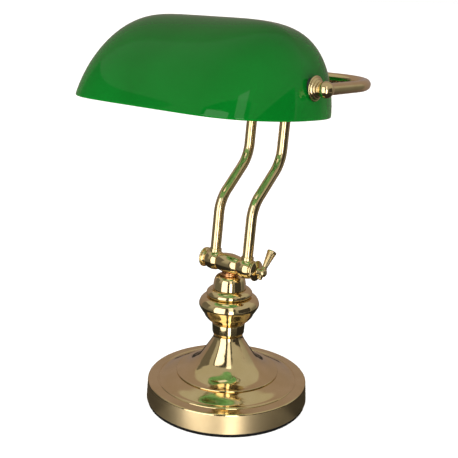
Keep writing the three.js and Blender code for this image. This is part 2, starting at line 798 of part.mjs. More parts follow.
function makeLampholder(group) {
  const washerFoot = innerFace - FIT - washerThickness - FIT;
  const rod = rodRadius + RUNNING;
  const right = new THREE.Group();
  right.position.y = -yokeDepth;
  group.add(right);
  const nut = boredHex(lockNutAcross / Math.sqrt(3), washerFoot - lockNutThickness, washerFoot, rod)
    .rotateY(Math.PI / 2);
  add(right, "lock_nut", nut, steel);

  // Everything below is on the left and points to the middle of the shade.
  const left = new THREE.Group();
  left.position.set(0, -yokeDepth, 0);
  left.rotation.z = Math.PI;
  group.add(left);
  const capFoot = washerFoot - holderCapLength;
  const inner = holderRadius - holderWall;
  const cap = turnedAboutX([
    [rod, washerFoot],
    [capNeckRadius, washerFoot],
    [capNeckRadius + 2, washerFoot - 2],
    [holderRadius - 1, capFoot + 4],
    [holderRadius, capFoot + 2.6],
    [holderRadius, capFoot],
    [inner, capFoot],
    [inner, capFoot + 2],
    [capNeckRadius + 1.5, washerFoot - 4],
    [rod, washerFoot - 4],
  ], 22);
  add(left, "holder_cap", cap, brass);
  const shellTop = capFoot - FIT;
  const mouth = shellTop - holderLength;
  add(left, "holder_shell", ringAboutX(inner, holderRadius, mouth, shellTop, 22), brass);
  const insertFoot = shellTop - insertLength;
  const thread = lampThreadRadius + RUNNING;
  const insert = turnedAboutX([
    [0, shellTop - 1],
    [insertRadius, shellTop - 1],
    [insertRadius, insertFoot],
    [thread + threadWall + FIT, insertFoot],
    [thread + threadWall + FIT, shellTop - 6],
    [0, shellTop - 6],
  ], 20);
  add(left, "holder_insert", insert, ceramicWhite);
  const threadTop = shellTop - 6 - FIT;
  add(left, "thread_sleeve", ringAboutX(thread, thread + threadWall, insertFoot + 1, threadTop, 20), copper);
  add(left, "centre_contact", discAboutX(3.4, threadTop - 1.6, threadTop, 12), copper);

  const lampTop = threadTop - 1.6 - FIT;
  const lampFoot = lampTop - lampCapLength;
  const cap27 = turnedAboutX([
    [0, lampTop],
    [4.6, lampTop],
    [6, lampTop - 1.6],
    [lampThreadRadius - 2, lampTop - 3.4],
    [lampThreadRadius, lampTop - 5.4],
    [lampThreadRadius, lampFoot],
    [lampThreadRadius - 1, lampFoot],
    [lampThreadRadius - 1, lampTop - 6],
    [0, lampTop - 4],
  ], 20);
  add(left, "bulb_cap", cap27, steel);
  const glassTop = lampFoot - FIT;
  const end = glassTop - bulbLength;
  const bulbOutline = (inset) => [
    [bulbNeckRadius - inset, glassTop],
    [bulbNeckRadius + 0.6 - inset, glassTop - 6],
    [bulbRadius - 1.6 - inset, glassTop - 15],
    [bulbRadius - inset, glassTop - 22],
    ...arc(bulbRadius - 10, end + 10, 10 - inset, 0, -75, 3),
    [0, end + inset],
  ];
  const bulb = turnedAboutX([...bulbOutline(0), ...bulbOutline(bulbWall).reverse()], 16);
  add(left, "bulb_glass", bulb, opalGlass);
}

// ---------------------------------------------------------------- the whole lamp

makeBase(lamp);
makeColumn(lamp);
makeCentreKnuckle(lamp);

const arms = new THREE.Group();
arms.position.z = pivotHeight;
arms.rotation.x = -radians(armLean);
lamp.add(arms);
makeBolt(arms);
makeArms(arms);
makeThumbScrew(arms);

const yoke = new THREE.Group();
yoke.position.set(0, armOffset, armReach);
yoke.rotation.x = radians(armLean + yokeTilt);
arms.add(yoke);
makeYoke(yoke);
makeLampholder(yoke);

const shade = new THREE.Group();
shade.position.y = -yokeDepth;
shade.rotation.x = radians(shadeTilt);
yoke.add(shade);
makeShade(shade);

export default lamp;
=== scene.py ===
"""Banker desk lamp: the looks of each piece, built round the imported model.

Outlines are in millimetres in the frame of the piece that they belong to, +Z up.
"""

import json
from math import asin, atan2, cos, hypot, pi, radians, sin, sqrt

import bmesh
import bpy
from mathutils import Matrix, Vector


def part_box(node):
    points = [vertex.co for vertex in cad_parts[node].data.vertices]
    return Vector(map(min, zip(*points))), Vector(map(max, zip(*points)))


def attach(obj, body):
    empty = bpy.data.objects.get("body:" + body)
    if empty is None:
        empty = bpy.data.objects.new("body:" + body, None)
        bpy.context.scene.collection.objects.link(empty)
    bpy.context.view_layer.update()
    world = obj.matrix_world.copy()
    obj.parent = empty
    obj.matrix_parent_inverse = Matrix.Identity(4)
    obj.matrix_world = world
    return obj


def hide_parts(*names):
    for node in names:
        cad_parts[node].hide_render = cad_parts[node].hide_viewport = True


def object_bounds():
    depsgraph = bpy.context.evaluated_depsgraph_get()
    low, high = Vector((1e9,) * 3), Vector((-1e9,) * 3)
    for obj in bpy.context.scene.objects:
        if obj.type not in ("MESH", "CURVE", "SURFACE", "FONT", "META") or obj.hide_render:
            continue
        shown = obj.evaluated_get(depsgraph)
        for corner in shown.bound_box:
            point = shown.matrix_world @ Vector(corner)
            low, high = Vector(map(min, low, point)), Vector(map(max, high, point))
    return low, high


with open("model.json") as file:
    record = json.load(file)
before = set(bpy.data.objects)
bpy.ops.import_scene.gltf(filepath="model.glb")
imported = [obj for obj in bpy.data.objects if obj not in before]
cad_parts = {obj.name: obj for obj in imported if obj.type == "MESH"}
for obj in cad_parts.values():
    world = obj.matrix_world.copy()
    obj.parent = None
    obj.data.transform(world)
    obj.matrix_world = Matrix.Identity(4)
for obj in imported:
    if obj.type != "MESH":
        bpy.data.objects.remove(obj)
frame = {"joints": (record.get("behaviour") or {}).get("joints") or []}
cad_low, cad_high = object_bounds()

MM = 0.001
FIT = 0.3  # gap between pieces that touch
PLAY = 0.35  # radial play of a turning or inserted round piece

# ------------------------------------------------------------------ camera


def linked(name, data):
    """An object of a mesh, a light or a camera, in the scene."""
    thing = bpy.data.objects.new(name, data)
    bpy.context.scene.collection.objects.link(thing)
    return thing


def make_camera():
    """The eye stands to the right of the front, a little above the shade."""
    azimuth, pitch, roll = radians(38.203), radians(16.431), radians(1.758)
    ahead = Vector((-sin(azimuth) * cos(pitch), cos(azimuth) * cos(pitch), -sin(pitch)))
    level_right = Vector((cos(azimuth), sin(azimuth), 0))
    level_up = level_right.cross(ahead)
    right = level_right * cos(roll) + level_up * sin(roll)
    up = level_up * cos(roll) - level_right * sin(roll)
    data = bpy.data.cameras.new("eye")
    data.lens = 66.23
    data.sensor_width = 36
    data.clip_end = 20
    camera = linked("eye", data)
    turn = Matrix((right, up, -ahead)).transposed().to_4x4()
    camera.matrix_world = Matrix.Translation((0.47603, -0.60864, 0.40590)) @ turn
    bpy.context.scene.camera = camera


make_camera()

# ------------------------------------------------------------------ places from the frame


def axis_of(joint):
    """A point on a joint's axis, in millimetres."""
    found = next(j for j in frame["joints"] if j["name"] == joint)
    return Vector(found["pos_m"]) / MM


def extent(node, axis):
    """Lowest and highest coordinate of a CAD node along an axis, in millimetres."""
    low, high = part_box(node)
    return low[axis] / MM, high[axis] / MM


def heights(node):
    return extent(node, 2)


def reach(node):
    """Half the width of a node that is centred on X = 0."""
    return extent(node, 0)[1]


def leaning(point, angle):
    return Matrix.Translation(point) @ Matrix.Rotation(angle, 4, "X")


ARM_OFFSET = 38.4  # sideways step of the S-shaped arms
ARM_BEND = radians(43)
ARM_BEND_RADIUS = 33
ARM_STEP_HEIGHT = 80  # middle of the S above the lower pivot
YOKE_BEND_RADIUS = 49.5
LEVER_LEAN = radians(34)
SHADE_TURN = radians(-2.95)  # of the glass in the yoke

pivot = axis_of("arm_tilt")
bar = axis_of("head_tilt")
shade_axis = axis_of("shade_tilt")
to_bar = bar - pivot
arm_reach = sqrt(to_bar.length_squared - ARM_OFFSET**2)
arm_lean = atan2(to_bar.y, to_bar.z) - atan2(ARM_OFFSET, arm_reach)
yoke_depth = (shade_axis - bar).length
yoke_turn = -asin((shade_axis.z - bar.z) / yoke_depth)

STAND = Matrix()
PIVOT = Matrix.Translation(pivot)
ARMS = leaning(pivot, -arm_lean)
SCREW = ARMS @ Matrix.Rotation(-LEVER_LEAN, 4, "X")
CLAMP = ARMS @ Matrix.Translation((0, ARM_OFFSET, arm_reach))
YOKE = leaning(bar, yoke_turn)
HEAD = YOKE @ Matrix.Translation((0, -yoke_depth, 0))
SHADE = HEAD @ Matrix.Rotation(SHADE_TURN, 4, "X")
HALF_TURN = Matrix.Rotation(pi, 4, "Z")
ABOUT_X = Matrix.Rotation(pi / 2, 4, "Y")  # takes a piece turned about Z to the X axis

# ------------------------------------------------------------------ node helpers


def add_node(tree, kind, inputs=None, **properties):
    """A node with its inputs linked to sockets or set to values, by name or number."""
    node = tree.nodes.new(kind)
    for key, value in properties.items():
        setattr(node, key, value)
    for key, value in (inputs or {}).items():
        if isinstance(value, bpy.types.NodeSocket):
            tree.links.new(value, node.inputs[key])
        else:
            node.inputs[key].default_value = value
    return node


class Nodes:
    """A node tree, with short ways to add a node or a sum."""

    def __init__(self, tree):
        self.tree = tree

    def node(self, kind, inputs=None, **properties):
        return add_node(self.tree, kind, inputs, **properties)

    def math(self, operation, *values):
        inputs = dict(enumerate(values))
        return self.node("ShaderNodeMath", inputs, operation=operation).outputs["Value"]


class Finish(Nodes):
    """A material made of node textures on the piece's own axis."""

    def __init__(self, name, place=STAND, **constants):
        self.material = bpy.data.materials.new(name)
        self.material.use_nodes = True
        super().__init__(self.material.node_tree)
        self.shader = self.tree.nodes["Principled BSDF"]
        for socket, value in constants.items():
            self.shader.inputs[socket.replace("_", " ")].default_value = value
        object_space = self.node("ShaderNodeTexCoord").outputs["Object"]
        inputs = {
            "Vector": object_space,
            "Location": place.to_translation() * MM,
            "Rotation": place.to_euler(),
        }
        centred = self.node("ShaderNodeMapping", inputs, vector_type="TEXTURE")
        self.vector = centred.outputs["Vector"]
        self.normal = None

    def round_about(self, per_turn, per_metre):
        """Coordinates that run round the piece's axis: turn, radius and height."""
        parts = self.node("ShaderNodeSeparateXYZ", {"Vector": self.vector}).outputs
        turn = self.math("ARCTAN2", parts["Y"], parts["X"])
        squares = [self.math("POWER", parts[axis], 2.0) for axis in "XY"]
        radius = self.math("SQRT", self.math("ADD", *squares))
        inputs = {
            "X": self.math("MULTIPLY", turn, per_turn),
            "Y": self.math("MULTIPLY", radius, per_metre),
            "Z": self.math("MULTIPLY", parts["Z"], per_metre),
        }
        return self.node("ShaderNodeCombineXYZ", inputs).outputs["Vector"]

    def noise(self, scale, detail=3.0, vector=None):
        inputs = {"Vector": vector or self.vector, "Scale": scale, "Detail": detail}
        return self.node("ShaderNodeTexNoise", inputs).outputs["Fac"]

    def spread(self, value, low, high):
        """A noise value, brought to the range low to high."""
        inputs = {"Value": value, "From Min": 0.3, "From Max": 0.7, "To Min": low, "To Max": high}
        return self.node("ShaderNodeMapRange", inputs).outputs["Result"]

    def colours(self, value, *tones):
        ramp = self.node("ShaderNodeValToRGB", {"Fac": value})
        stops = ramp.color_ramp.elements
        while len(stops) < len(tones):
            stops.new(0.5)
        for i, (stop, tone) in enumerate(zip(stops, tones)):
            stop.position = 0.3 + 0.4 * i / (len(tones) - 1)
            stop.color = (*tone, 1)
        self.tree.links.new(ramp.outputs["Color"], self.shader.inputs["Base Color"])

    def rough(self, value, low, high):
        self.tree.links.new(self.spread(value, low, high), self.shader.inputs["Roughness"])

    def relief(self, height, depth, strength=1.0):
        inputs = {"Height": height, "Distance": depth * MM, "Strength": strength}
        if self.normal:
            inputs["Normal"] = self.normal
        self.normal = self.node("ShaderNodeBump", inputs).outputs["Normal"]
        self.tree.links.new(self.normal, self.shader.inputs["Normal"])


# ------------------------------------------------------------------ finishes

BRASS_PALE = (0.82, 0.66, 0.38)
BRASS_DEEP = (0.75, 0.59, 0.31)


def polished_brass(name, place=STAND):
    """Lacquered brass with the faint rings of the polishing wheel and a few dull patches."""
    brass = Finish(name, place, Metallic=1.0)
    patches = brass.noise(55.0, 4.0)
    brass.colours(patches, BRASS_DEEP, BRASS_PALE)
    haze = brass.noise(160.0, 5.0)
    brass.rough(haze, 0.07, 0.13)
    brass.relief(brass.noise(1.0, 2.0, brass.round_about(1.2, 1500.0)), 0.012, 0.35)
    brass.relief(brass.noise(35.0, 1.0), 0.05, 0.25)
    return brass.material


def brushed_brass(name, place=STAND):
    """Satin brass, brushed round its axis."""
    brass = Finish(name, place, Metallic=1.0, Anisotropic=0.5)
    grain = brass.noise(1.0, 4.0, brass.round_about(5.0, 3500.0))
    brass.colours(brass.noise(40.0), (0.62, 0.47, 0.26), (0.72, 0.56, 0.32))
    brass.rough(grain, 0.30, 0.38)
    brass.relief(grain, 0.006, 0.4)
    return brass.material


def turned_metal(name, place, cloud, tones, per_turn, sheen, depth):
    """A metal with the fine rings that turning leaves round its axis."""
    metal = Finish(name, place, Metallic=1.0)
    metal.colours(metal.noise(cloud), *tones)
    grain = metal.noise(1.0, 3.0, metal.round_about(per_turn, 2500.0))
    metal.rough(grain, *sheen)
    metal.relief(grain, depth, 0.5)
    return metal.material


def copper(name, place=STAND):
    tones = (0.62, 0.28, 0.12), (0.78, 0.40, 0.19)
    return turned_metal(name, place, 120.0, tones, 3.0, (0.16, 0.28), 0.015)


def plated_steel(name, place=STAND):
    tones = (0.50, 0.51, 0.52), (0.63, 0.64, 0.66)
    return turned_metal(name, place, 90.0, tones, 4.0, (0.22, 0.38), 0.02)


def cast_iron():
    iron = Finish("cast_iron", Metallic=0.7)
    iron.colours(iron.noise(60.0, 6.0), (0.025, 0.024, 0.024), (0.07, 0.068, 0.066))
    grit = iron.noise(900.0, 4.0)
    iron.rough(grit, 0.55, 0.8)
    iron.relief(grit, 0.15)
    iron.relief(iron.noise(90.0, 3.0), 0.4, 0.6)
    return iron.material


def black_felt():
    felt = Finish("black_felt", Specular_IOR_Level=0.15)
    felt.colours(felt.noise(2500.0, 2.0), (0.003, 0.003, 0.003), (0.009, 0.009, 0.010))
    fibres = felt.noise(1800.0, 6.0)
    felt.rough(fibres, 0.85, 1.0)
    felt.relief(fibres, 0.3)
    return felt.material


def moulded(name, cloud, dark, pale, skin, sheen, depth):
    """A black moulding, cloudy and finely pitted."""
    moulding = Finish(name)
    moulding.colours(moulding.noise(cloud), (dark,) * 3, (pale,) * 3)
    pits = moulding.noise(*skin)
    moulding.rough(pits, *sheen)
    moulding.relief(pits, depth)
    return moulding.material


def white_ceramic():
    glaze = Finish("white_ceramic", Coat_Weight=0.6, Coat_Roughness=0.1)
    glaze.colours(glaze.noise(70.0), (0.72, 0.69, 0.62), (0.80, 0.78, 0.72))
    ripple = glaze.noise(300.0)
    glaze.rough(ripple, 0.2, 0.35)
    glaze.relief(ripple, 0.04, 0.5)
    return glaze.material


def green_glass():
    """The cased glass's outer layer: deep green, fire polished, with a slight pull in it."""
    glass = Finish("green_glass", SHADE, IOR=1.4, Specular_IOR_Level=0.36)
    glass.colours(glass.noise(14.0, 2.0), (0.001, 0.124, 0.010), (0.0016, 0.150, 0.014))
    glass.rough(glass.noise(260.0, 4.0), 0.03, 0.07)
    glass.relief(glass.noise(22.0, 1.0), 0.12, 0.25)
    return glass.material


def opal_lining():
    """The cased glass's white inner layer, coloured a darkish pale green: painted shade and
    painted green light from the outer layer.
    """
    coat = {"Coat_Weight": 0.3, "Coat_Roughness": 0.05}
    lining = Finish("opal_lining", SHADE, Subsurface_Weight=0.15, **coat)
    lining.shader.inputs["Subsurface Radius"].default_value = (0.004, 0.005, 0.004)
    # Painted shade and painted green light, in place of the lining's own white.
    lining.colours(lining.noise(20.0, 2.0), (0.20, 0.46, 0.22), (0.25, 0.53, 0.27))
    lining.rough(lining.noise(180.0), 0.12, 0.2)
    lining.relief(lining.noise(22.0, 1.0), 0.12, 0.25)
    return lining.material


def opal_glass():
    glass = Finish("opal_glass", HEAD, Subsurface_Weight=0.4, Coat_Weight=0.4, Coat_Roughness=0.05)
    glass.shader.inputs["Subsurface Radius"].default_value = (0.006, 0.006, 0.005)
    glass.colours(glass.noise(50.0), (0.84, 0.83, 0.79), (0.90, 0.89, 0.86))
    glass.rough(glass.noise(400.0), 0.18, 0.28)
    glass.relief(glass.noise(80.0, 1.0), 0.05, 0.3)
    return glass.material


BRASS_STAND = polished_brass("brass_about_column")
BRASS_PIVOT = polished_brass("brass_about_pivot", ARMS @ ABOUT_X)
BRASS_ARMS = polished_brass("brass_along_arms", ARMS)
BRASS_SCREW = polished_brass("brass_about_screw", SCREW)
BRASS_YOKE = polished_brass("brass_about_bar", YOKE @ ABOUT_X)
BRASS_HEAD = polished_brass("brass_about_shade_axis", HEAD @ ABOUT_X)
SATIN_BAND = brushed_brass("satin_band")
COPPER_COLLAR = copper("copper_collar")
COPPER_CONTACTS = copper("copper_contacts", HEAD @ ABOUT_X)
STEEL_STAND = plated_steel("steel_about_column")
STEEL_PIVOT = plated_steel("steel_about_pivot", ARMS @ ABOUT_X)
STEEL_YOKE = plated_steel("steel_in_yoke", YOKE)
STEEL_HEAD = plated_steel("steel_about_shade_axis", HEAD @ ABOUT_X)
IRON = cast_iron()
FELT = black_felt()
RUBBER = moulded("black_rubber", 200.0, 0.012, 0.03, (1500.0, 3.0), (0.55, 0.75), 0.05)
PLASTIC = moulded("black_plastic", 150.0, 0.014, 0.026, (2200.0, 2.0), (0.32, 0.48), 0.03)
CERAMIC = white_ceramic()
GREEN = green_glass()
LINING = opal_lining()
OPAL = opal_glass()

# ------------------------------------------------------------------ mesh helpers


def eased(outline, steps=6):
    """The outline with each corner that has a third number rounded, from that far on each side."""
    made = []
    count = len(outline)
    for i, corner in enumerate(outline):
        here = Vector(corner[:2])
        if len(corner) == 2:
            made.append(here)
            continue
        back = Vector(outline[i - 1][:2]) - here
        ahead = Vector(outline[(i + 1) % count][:2]) - here
        start = here + back.normalized() * min(corner[2], back.length * 0.48)
        end = here + ahead.normalized() * min(corner[2], ahead.length * 0.48)
        for step in range(steps + 1):
            t = step / steps
            made.append(start * (1 - t) ** 2 + here * 2 * t * (1 - t) + end * t**2)
    return [tuple(p) for p in made]


def flowing(points, steps):
    """Points on a smooth curve through the given ones, with steps of them to each stretch."""
    ends = [Vector(points[0]) * 2 - Vector(points[1]), Vector(points[-1]) * 2 - Vector(points[-2])]
    knots = [ends[0], *map(Vector, points), ends[1]]
    made = []
    for a, b, c, d in zip(knots, knots[1:], knots[2:], knots[3:]):
        for step in range(steps):
            t = step / steps
            bend = (a * -1 + b * 3 - c * 3 + d) * t**3
            slope = (a * 2 - b * 5 + c * 4 - d) * t**2
            made.append(tuple((b * 2 + (c - a) * t + slope + bend) / 2))
    made.append(tuple(points[-1]))
    return made


def arc(centre_r, centre_z, radius, start, end, steps=8):
    """Points of an arc from one angle to another, in degrees."""
    turns = [radians(start + (end - start) * i / steps) for i in range(steps + 1)]
    return [(centre_r + radius * cos(a), centre_z + radius * sin(a)) for a in turns]


def shell_of(outer, wall):
    """A closed outline from an outer one, foot to top, and the same one set in by a wall."""
    inner = []
    for i, (r, z) in enumerate(outer):
        r0, z0 = outer[max(i - 1, 0)]
        r1, z1 = outer[min(i + 1, len(outer) - 1)]
        length = hypot(r1 - r0, z1 - z0)
        inner.append((r - wall * (z1 - z0) / length, z + wall * (r1 - r0) / length))
    inner[0] = (inner[0][0], outer[0][1])
    inner[-1] = (outer[-1][0], inner[-1][1])
    return [*outer, *reversed(inner)]


def mesh_of(name, points, edges, faces, place=STAND):
    """A mesh of points given in millimetres in a frame."""
    mesh = bpy.data.meshes.new(name)
    mesh.from_pydata([(place @ Vector(p)) * MM for p in points], edges, faces)
    return mesh


def piece_of(name, points, faces, place):
    """An object of a mesh in a frame, with its faces pointing out."""
    mesh = mesh_of(name, points, [], faces, place)
    face_out(mesh)
    return linked(name, mesh)


def face_out(mesh):
    """Merges the mesh's doubles and turns its faces outwards."""
    edit = bmesh.new()
    edit.from_mesh(mesh)
    bmesh.ops.remove_doubles(edit, verts=edit.verts, dist=1e-7)
    bmesh.ops.recalc_face_normals(edit, faces=edit.faces)
    edit.to_mesh(mesh)
    edit.free()


def turned(name, outline, place=STAND, sides=96):
    """A closed outline of (radius, height) turned about the frame's Z axis."""
    points, faces, rings = [], [], []
    for radius, height in outline:
        count = sides if radius > 1e-6 else 1
        rings.append([len(points) + i for i in range(count)])
        turns = [2 * pi * i / sides for i in range(count)]
        points += [(radius * cos(a), radius * sin(a), height) for a in turns]
    if len(rings[0]) > 1 or len(rings[-1]) > 1:  # the outline doesn't start and end on the axis
        rings.append(rings[0])
    for low, high in zip(rings, rings[1:]):
        for i in range(sides):
            foot = [low[i % len(low)], low[(i + 1) % len(low)]]
            top = [high[(i + 1) % len(high)], high[i % len(high)]]
            corners = list(dict.fromkeys([*foot, *top]))
            if len(corners) > 2:
                faces.append(corners)
    return piece_of(name, points, faces, place)


def plug(radius, low, high, place=STAND, sides=48):
    """A plain round solid that a hole is bored with."""
    return turned("plug", [(0, low), (radius, low), (radius, high), (0, high)], place, sides)


def ring(name, inner, outer, low, high, place=STAND, ease=0.3, sides=96):
    """A round bush with eased edges; it is solid where inner is 0."""
    edge = (ease,) if inner else ()
    foot = [(inner, low, *edge), (outer, low, ease)]
    top = [(outer, high, ease), (inner, high, *edge)]
    return turned(name, eased([*foot, *top], 3), place, sides)


def placed(piece, place):
    """Moves a piece's mesh from the origin to its frame."""
    turn = place.to_3x3().to_4x4()
    piece.data.transform(Matrix.Translation(place.to_translation() * MM) @ turn)
    return piece


def slab(width, depth, height, place):
    """A plain block that a slot is cut with."""
    bpy.ops.mesh.primitive_cube_add(size=1)
    block = bpy.context.object
    block.data.transform(Matrix.Diagonal((width * MM, depth * MM, height * MM, 1)))
    return placed(block, place)


def carved(piece, *tools, operation="DIFFERENCE"):
    """The piece with other solids cut away or joined on."""
    for tool in tools:
        change = piece.modifiers.new("carve", "BOOLEAN")
        change.operation = operation
        change.solver = "MANIFOLD"
        change.object = tool
    graph = bpy.context.evaluated_depsgraph_get()
    before = piece.data
    piece.data = bpy.data.meshes.new_from_object(piece.evaluated_get(graph))
    piece.modifiers.clear()
    bpy.data.meshes.remove(before)
    for tool in tools:
        bpy.data.objects.remove(tool)
    return piece


def joined(piece, *more):
    return carved(piece, *more, operation="UNION")


def fitted(piece, body, nodes, slot, *finishes, crease=32):
    """Gives a finished piece its materials and its body, and hides the CAD nodes that it stands
    for.
    """
    mesh = piece.data
    kept = [p.material_index for p in mesh.polygons]
    mesh.materials.clear()
    for finish in finishes:
        mesh.materials.append(finish)
    mesh.polygons.foreach_set("material_index", kept)
    mesh.polygons.foreach_set("use_smooth", [True] * len(mesh.polygons))
    mesh.set_sharp_from_angle(angle=radians(crease))
    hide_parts(*nodes.split())
    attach(piece, body)
    return piece


# ------------------------------------------------------------------ geometry node trees


class Tree(Nodes):
    """A geometry node tree with named inputs, made into plain meshes."""

    def __init__(self, name, **inputs):
        super().__init__(bpy.data.node_groups.new(name, "GeometryNodeTree"))
        sockets = self.tree.interface
        sockets.new_socket("Geometry", in_out="INPUT", socket_type="NodeSocketGeometry")
        for label, kind in inputs.items():
            sockets.new_socket(label, in_out="INPUT", socket_type="NodeSocket" + kind)
        sockets.new_socket("Geometry", in_out="OUTPUT", socket_type="NodeSocketGeometry")
        self.given = self.node("NodeGroupInput").outputs
        self.keys = {s.name: s.identifier for s in sockets.items_tree if s.in_out == "INPUT"}

    def lifted(self, geometry, height):
        offset = self.node("ShaderNodeCombineXYZ", {"Z": height}).outputs["Vector"]
        inputs = {"Geometry": geometry, "Translation": offset}
        return self.node("GeometryNodeTransform", inputs).outputs["Geometry"]

    def swept(self, curve, radius, sides):
        """A round section carried along a curve, closed at its ends."""
        inputs = {"Resolution": sides, "Radius": radius}
        section = self.node("GeometryNodeCurvePrimitiveCircle", inputs).outputs["Curve"]
        inputs = {"Curve": curve, "Profile Curve": section, "Fill Caps": True}
        return self.node("GeometryNodeCurveToMesh", inputs).outputs["Mesh"]

    def joined(self, *geometries):
        node = self.node("GeometryNodeJoinGeometry")
        for geometry in geometries:
            self.tree.links.new(geometry, node.inputs["Geometry"])
        return node.outputs["Geometry"]

    def finish(self, geometry):
        """Ends the tree in real faces with the given material."""
        real = self.node("GeometryNodeRealizeInstances", {"Geometry": geometry})
        inputs = {"Geometry": real.outputs["Geometry"], "Material": self.given["Finish"]}
        painted = self.node("GeometryNodeSetMaterial", inputs)
        self.node("NodeGroupOutput", {"Geometry": painted.outputs["Geometry"]})

    def make(self, name, start, **values):
        """A plain piece from a starting object, which is used up."""
        grow = start.modifiers.new("grow", "NODES")
        grow.node_group = self.tree
        for label, value in values.items():
            grow[self.keys[label]] = value
        graph = bpy.context.evaluated_depsgraph_get()
        mesh = bpy.data.meshes.new_from_object(start.evaluated_get(graph))
        face_out(mesh)
        bpy.data.objects.remove(start)
        return linked(name, mesh)


def tube_tree():
    """A round tube along a chain of edges, closed at its ends."""
    tree = Tree("tube_along_path", Radius="Float", Sides="Int", Finish="Material")
    given = tree.given
    path = tree.node("GeometryNodeMeshToCurve", {"Mesh": given["Geometry"]})
    tree.finish(tree.swept(path.outputs["Curve"], given["Radius"], given["Sides"]))
    return tree


def flute_tree():
    """Slim ridges laid round a tapered grip that stands on Z."""
    sizes = dict.fromkeys(("Low", "High", "Low_Radius", "High_Radius", "Ridge"), "Float")
    tree = Tree("flutes", Count="Int", **sizes, Finish="Material")
    given = tree.given

    def halfway(low, high):
        return tree.math("MULTIPLY", tree.math("ADD", given[high], given[low]), 0.5)

    height = tree.math("SUBTRACT", given["High"], given["Low"])
    radius = halfway("Low_Radius", "High_Radius")
    taper = tree.math("SUBTRACT", given["High_Radius"], given["Low_Radius"])
    lean = tree.math("ARCTAN2", taper, height)
    points = tree.node("GeometryNodeMeshCircle", {"Vertices": given["Count"], "Radius": radius})
    index = tree.node("GeometryNodeInputIndex").outputs["Index"]
    turn = tree.math("DIVIDE", tree.math("MULTIPLY", index, 2 * pi), given["Count"])
    facing = tree.node("ShaderNodeCombineXYZ", {"Y": lean, "Z": turn})
    inputs = {
        "Vertices": 6,
        "Radius Top": given["Ridge"],
        "Radius Bottom": tree.math("MULTIPLY", given["Ridge"], 0.6),
        "Depth": height,
    }
    ridge = tree.node("GeometryNodeMeshCone", inputs)
    inputs = {
        "Points": tree.lifted(points.outputs["Mesh"], halfway("Low", "High")),
        "Instance": tree.lifted(ridge.outputs["Mesh"], tree.math("MULTIPLY", height, -0.5)),
        "Rotation": facing.outputs["Vector"],
    }
    ridges = tree.node("GeometryNodeInstanceOnPoints", inputs)
    tree.finish(tree.joined(given["Geometry"], ridges.outputs["Instances"]))
    return tree


def thread_tree():
    """A round-crested thread wound on a cylinder that stands on Z."""
    sizes = dict.fromkeys(("Radius", "Low", "High", "Pitch", "Crest"), "Float")
    tree = Tree("thread", **sizes, Finish="Material")
    given = tree.given
    height = tree.math("SUBTRACT", given["High"], given["Low"])
    inputs = {
        "Resolution": 40,
        "Rotations": tree.math("DIVIDE", height, given["Pitch"]),
        "Start Radius": given["Radius"],
        "End Radius": given["Radius"],
        "Height": height,
    }
    helix = tree.node("GeometryNodeCurveSpiral", inputs).outputs["Curve"]
    wound = tree.lifted(tree.swept(helix, given["Crest"], 8), given["Low"])
    tree.finish(tree.joined(given["Geometry"], wound))
    return tree


TUBE = tube_tree()
FLUTES = flute_tree()
THREAD = thread_tree()


def chain(name, points, place):
    """An object of edges through points in millimetres, for a tube to follow."""
    edges = [(i, i + 1) for i in range(len(points) - 1)]
    return linked(name, mesh_of(name, points, edges, [], place))


def in_metres(name, outline, sides=64):
    """A turned piece at the origin, for a tree that adds to it before it is placed."""
    return turned(name, outline, STAND, sides)


# ------------------------------------------------------------------ base

ROD_RADIUS = 5
ROD_BORE = 6.4
band_foot = heights("base_cover")[0]
band_radius = reach("base_cover")  # at the foot of the side band
rim_radius = band_radius - 1.3
crown_radius = reach("stem_flare") - 0.6
bore = ROD_RADIUS + PLAY
INLET_RADIUS = 4.9
INLET = Matrix.Translation((0, 0, 12)) @ Matrix.Rotation(-pi / 2, 4, "X")  # Z points back


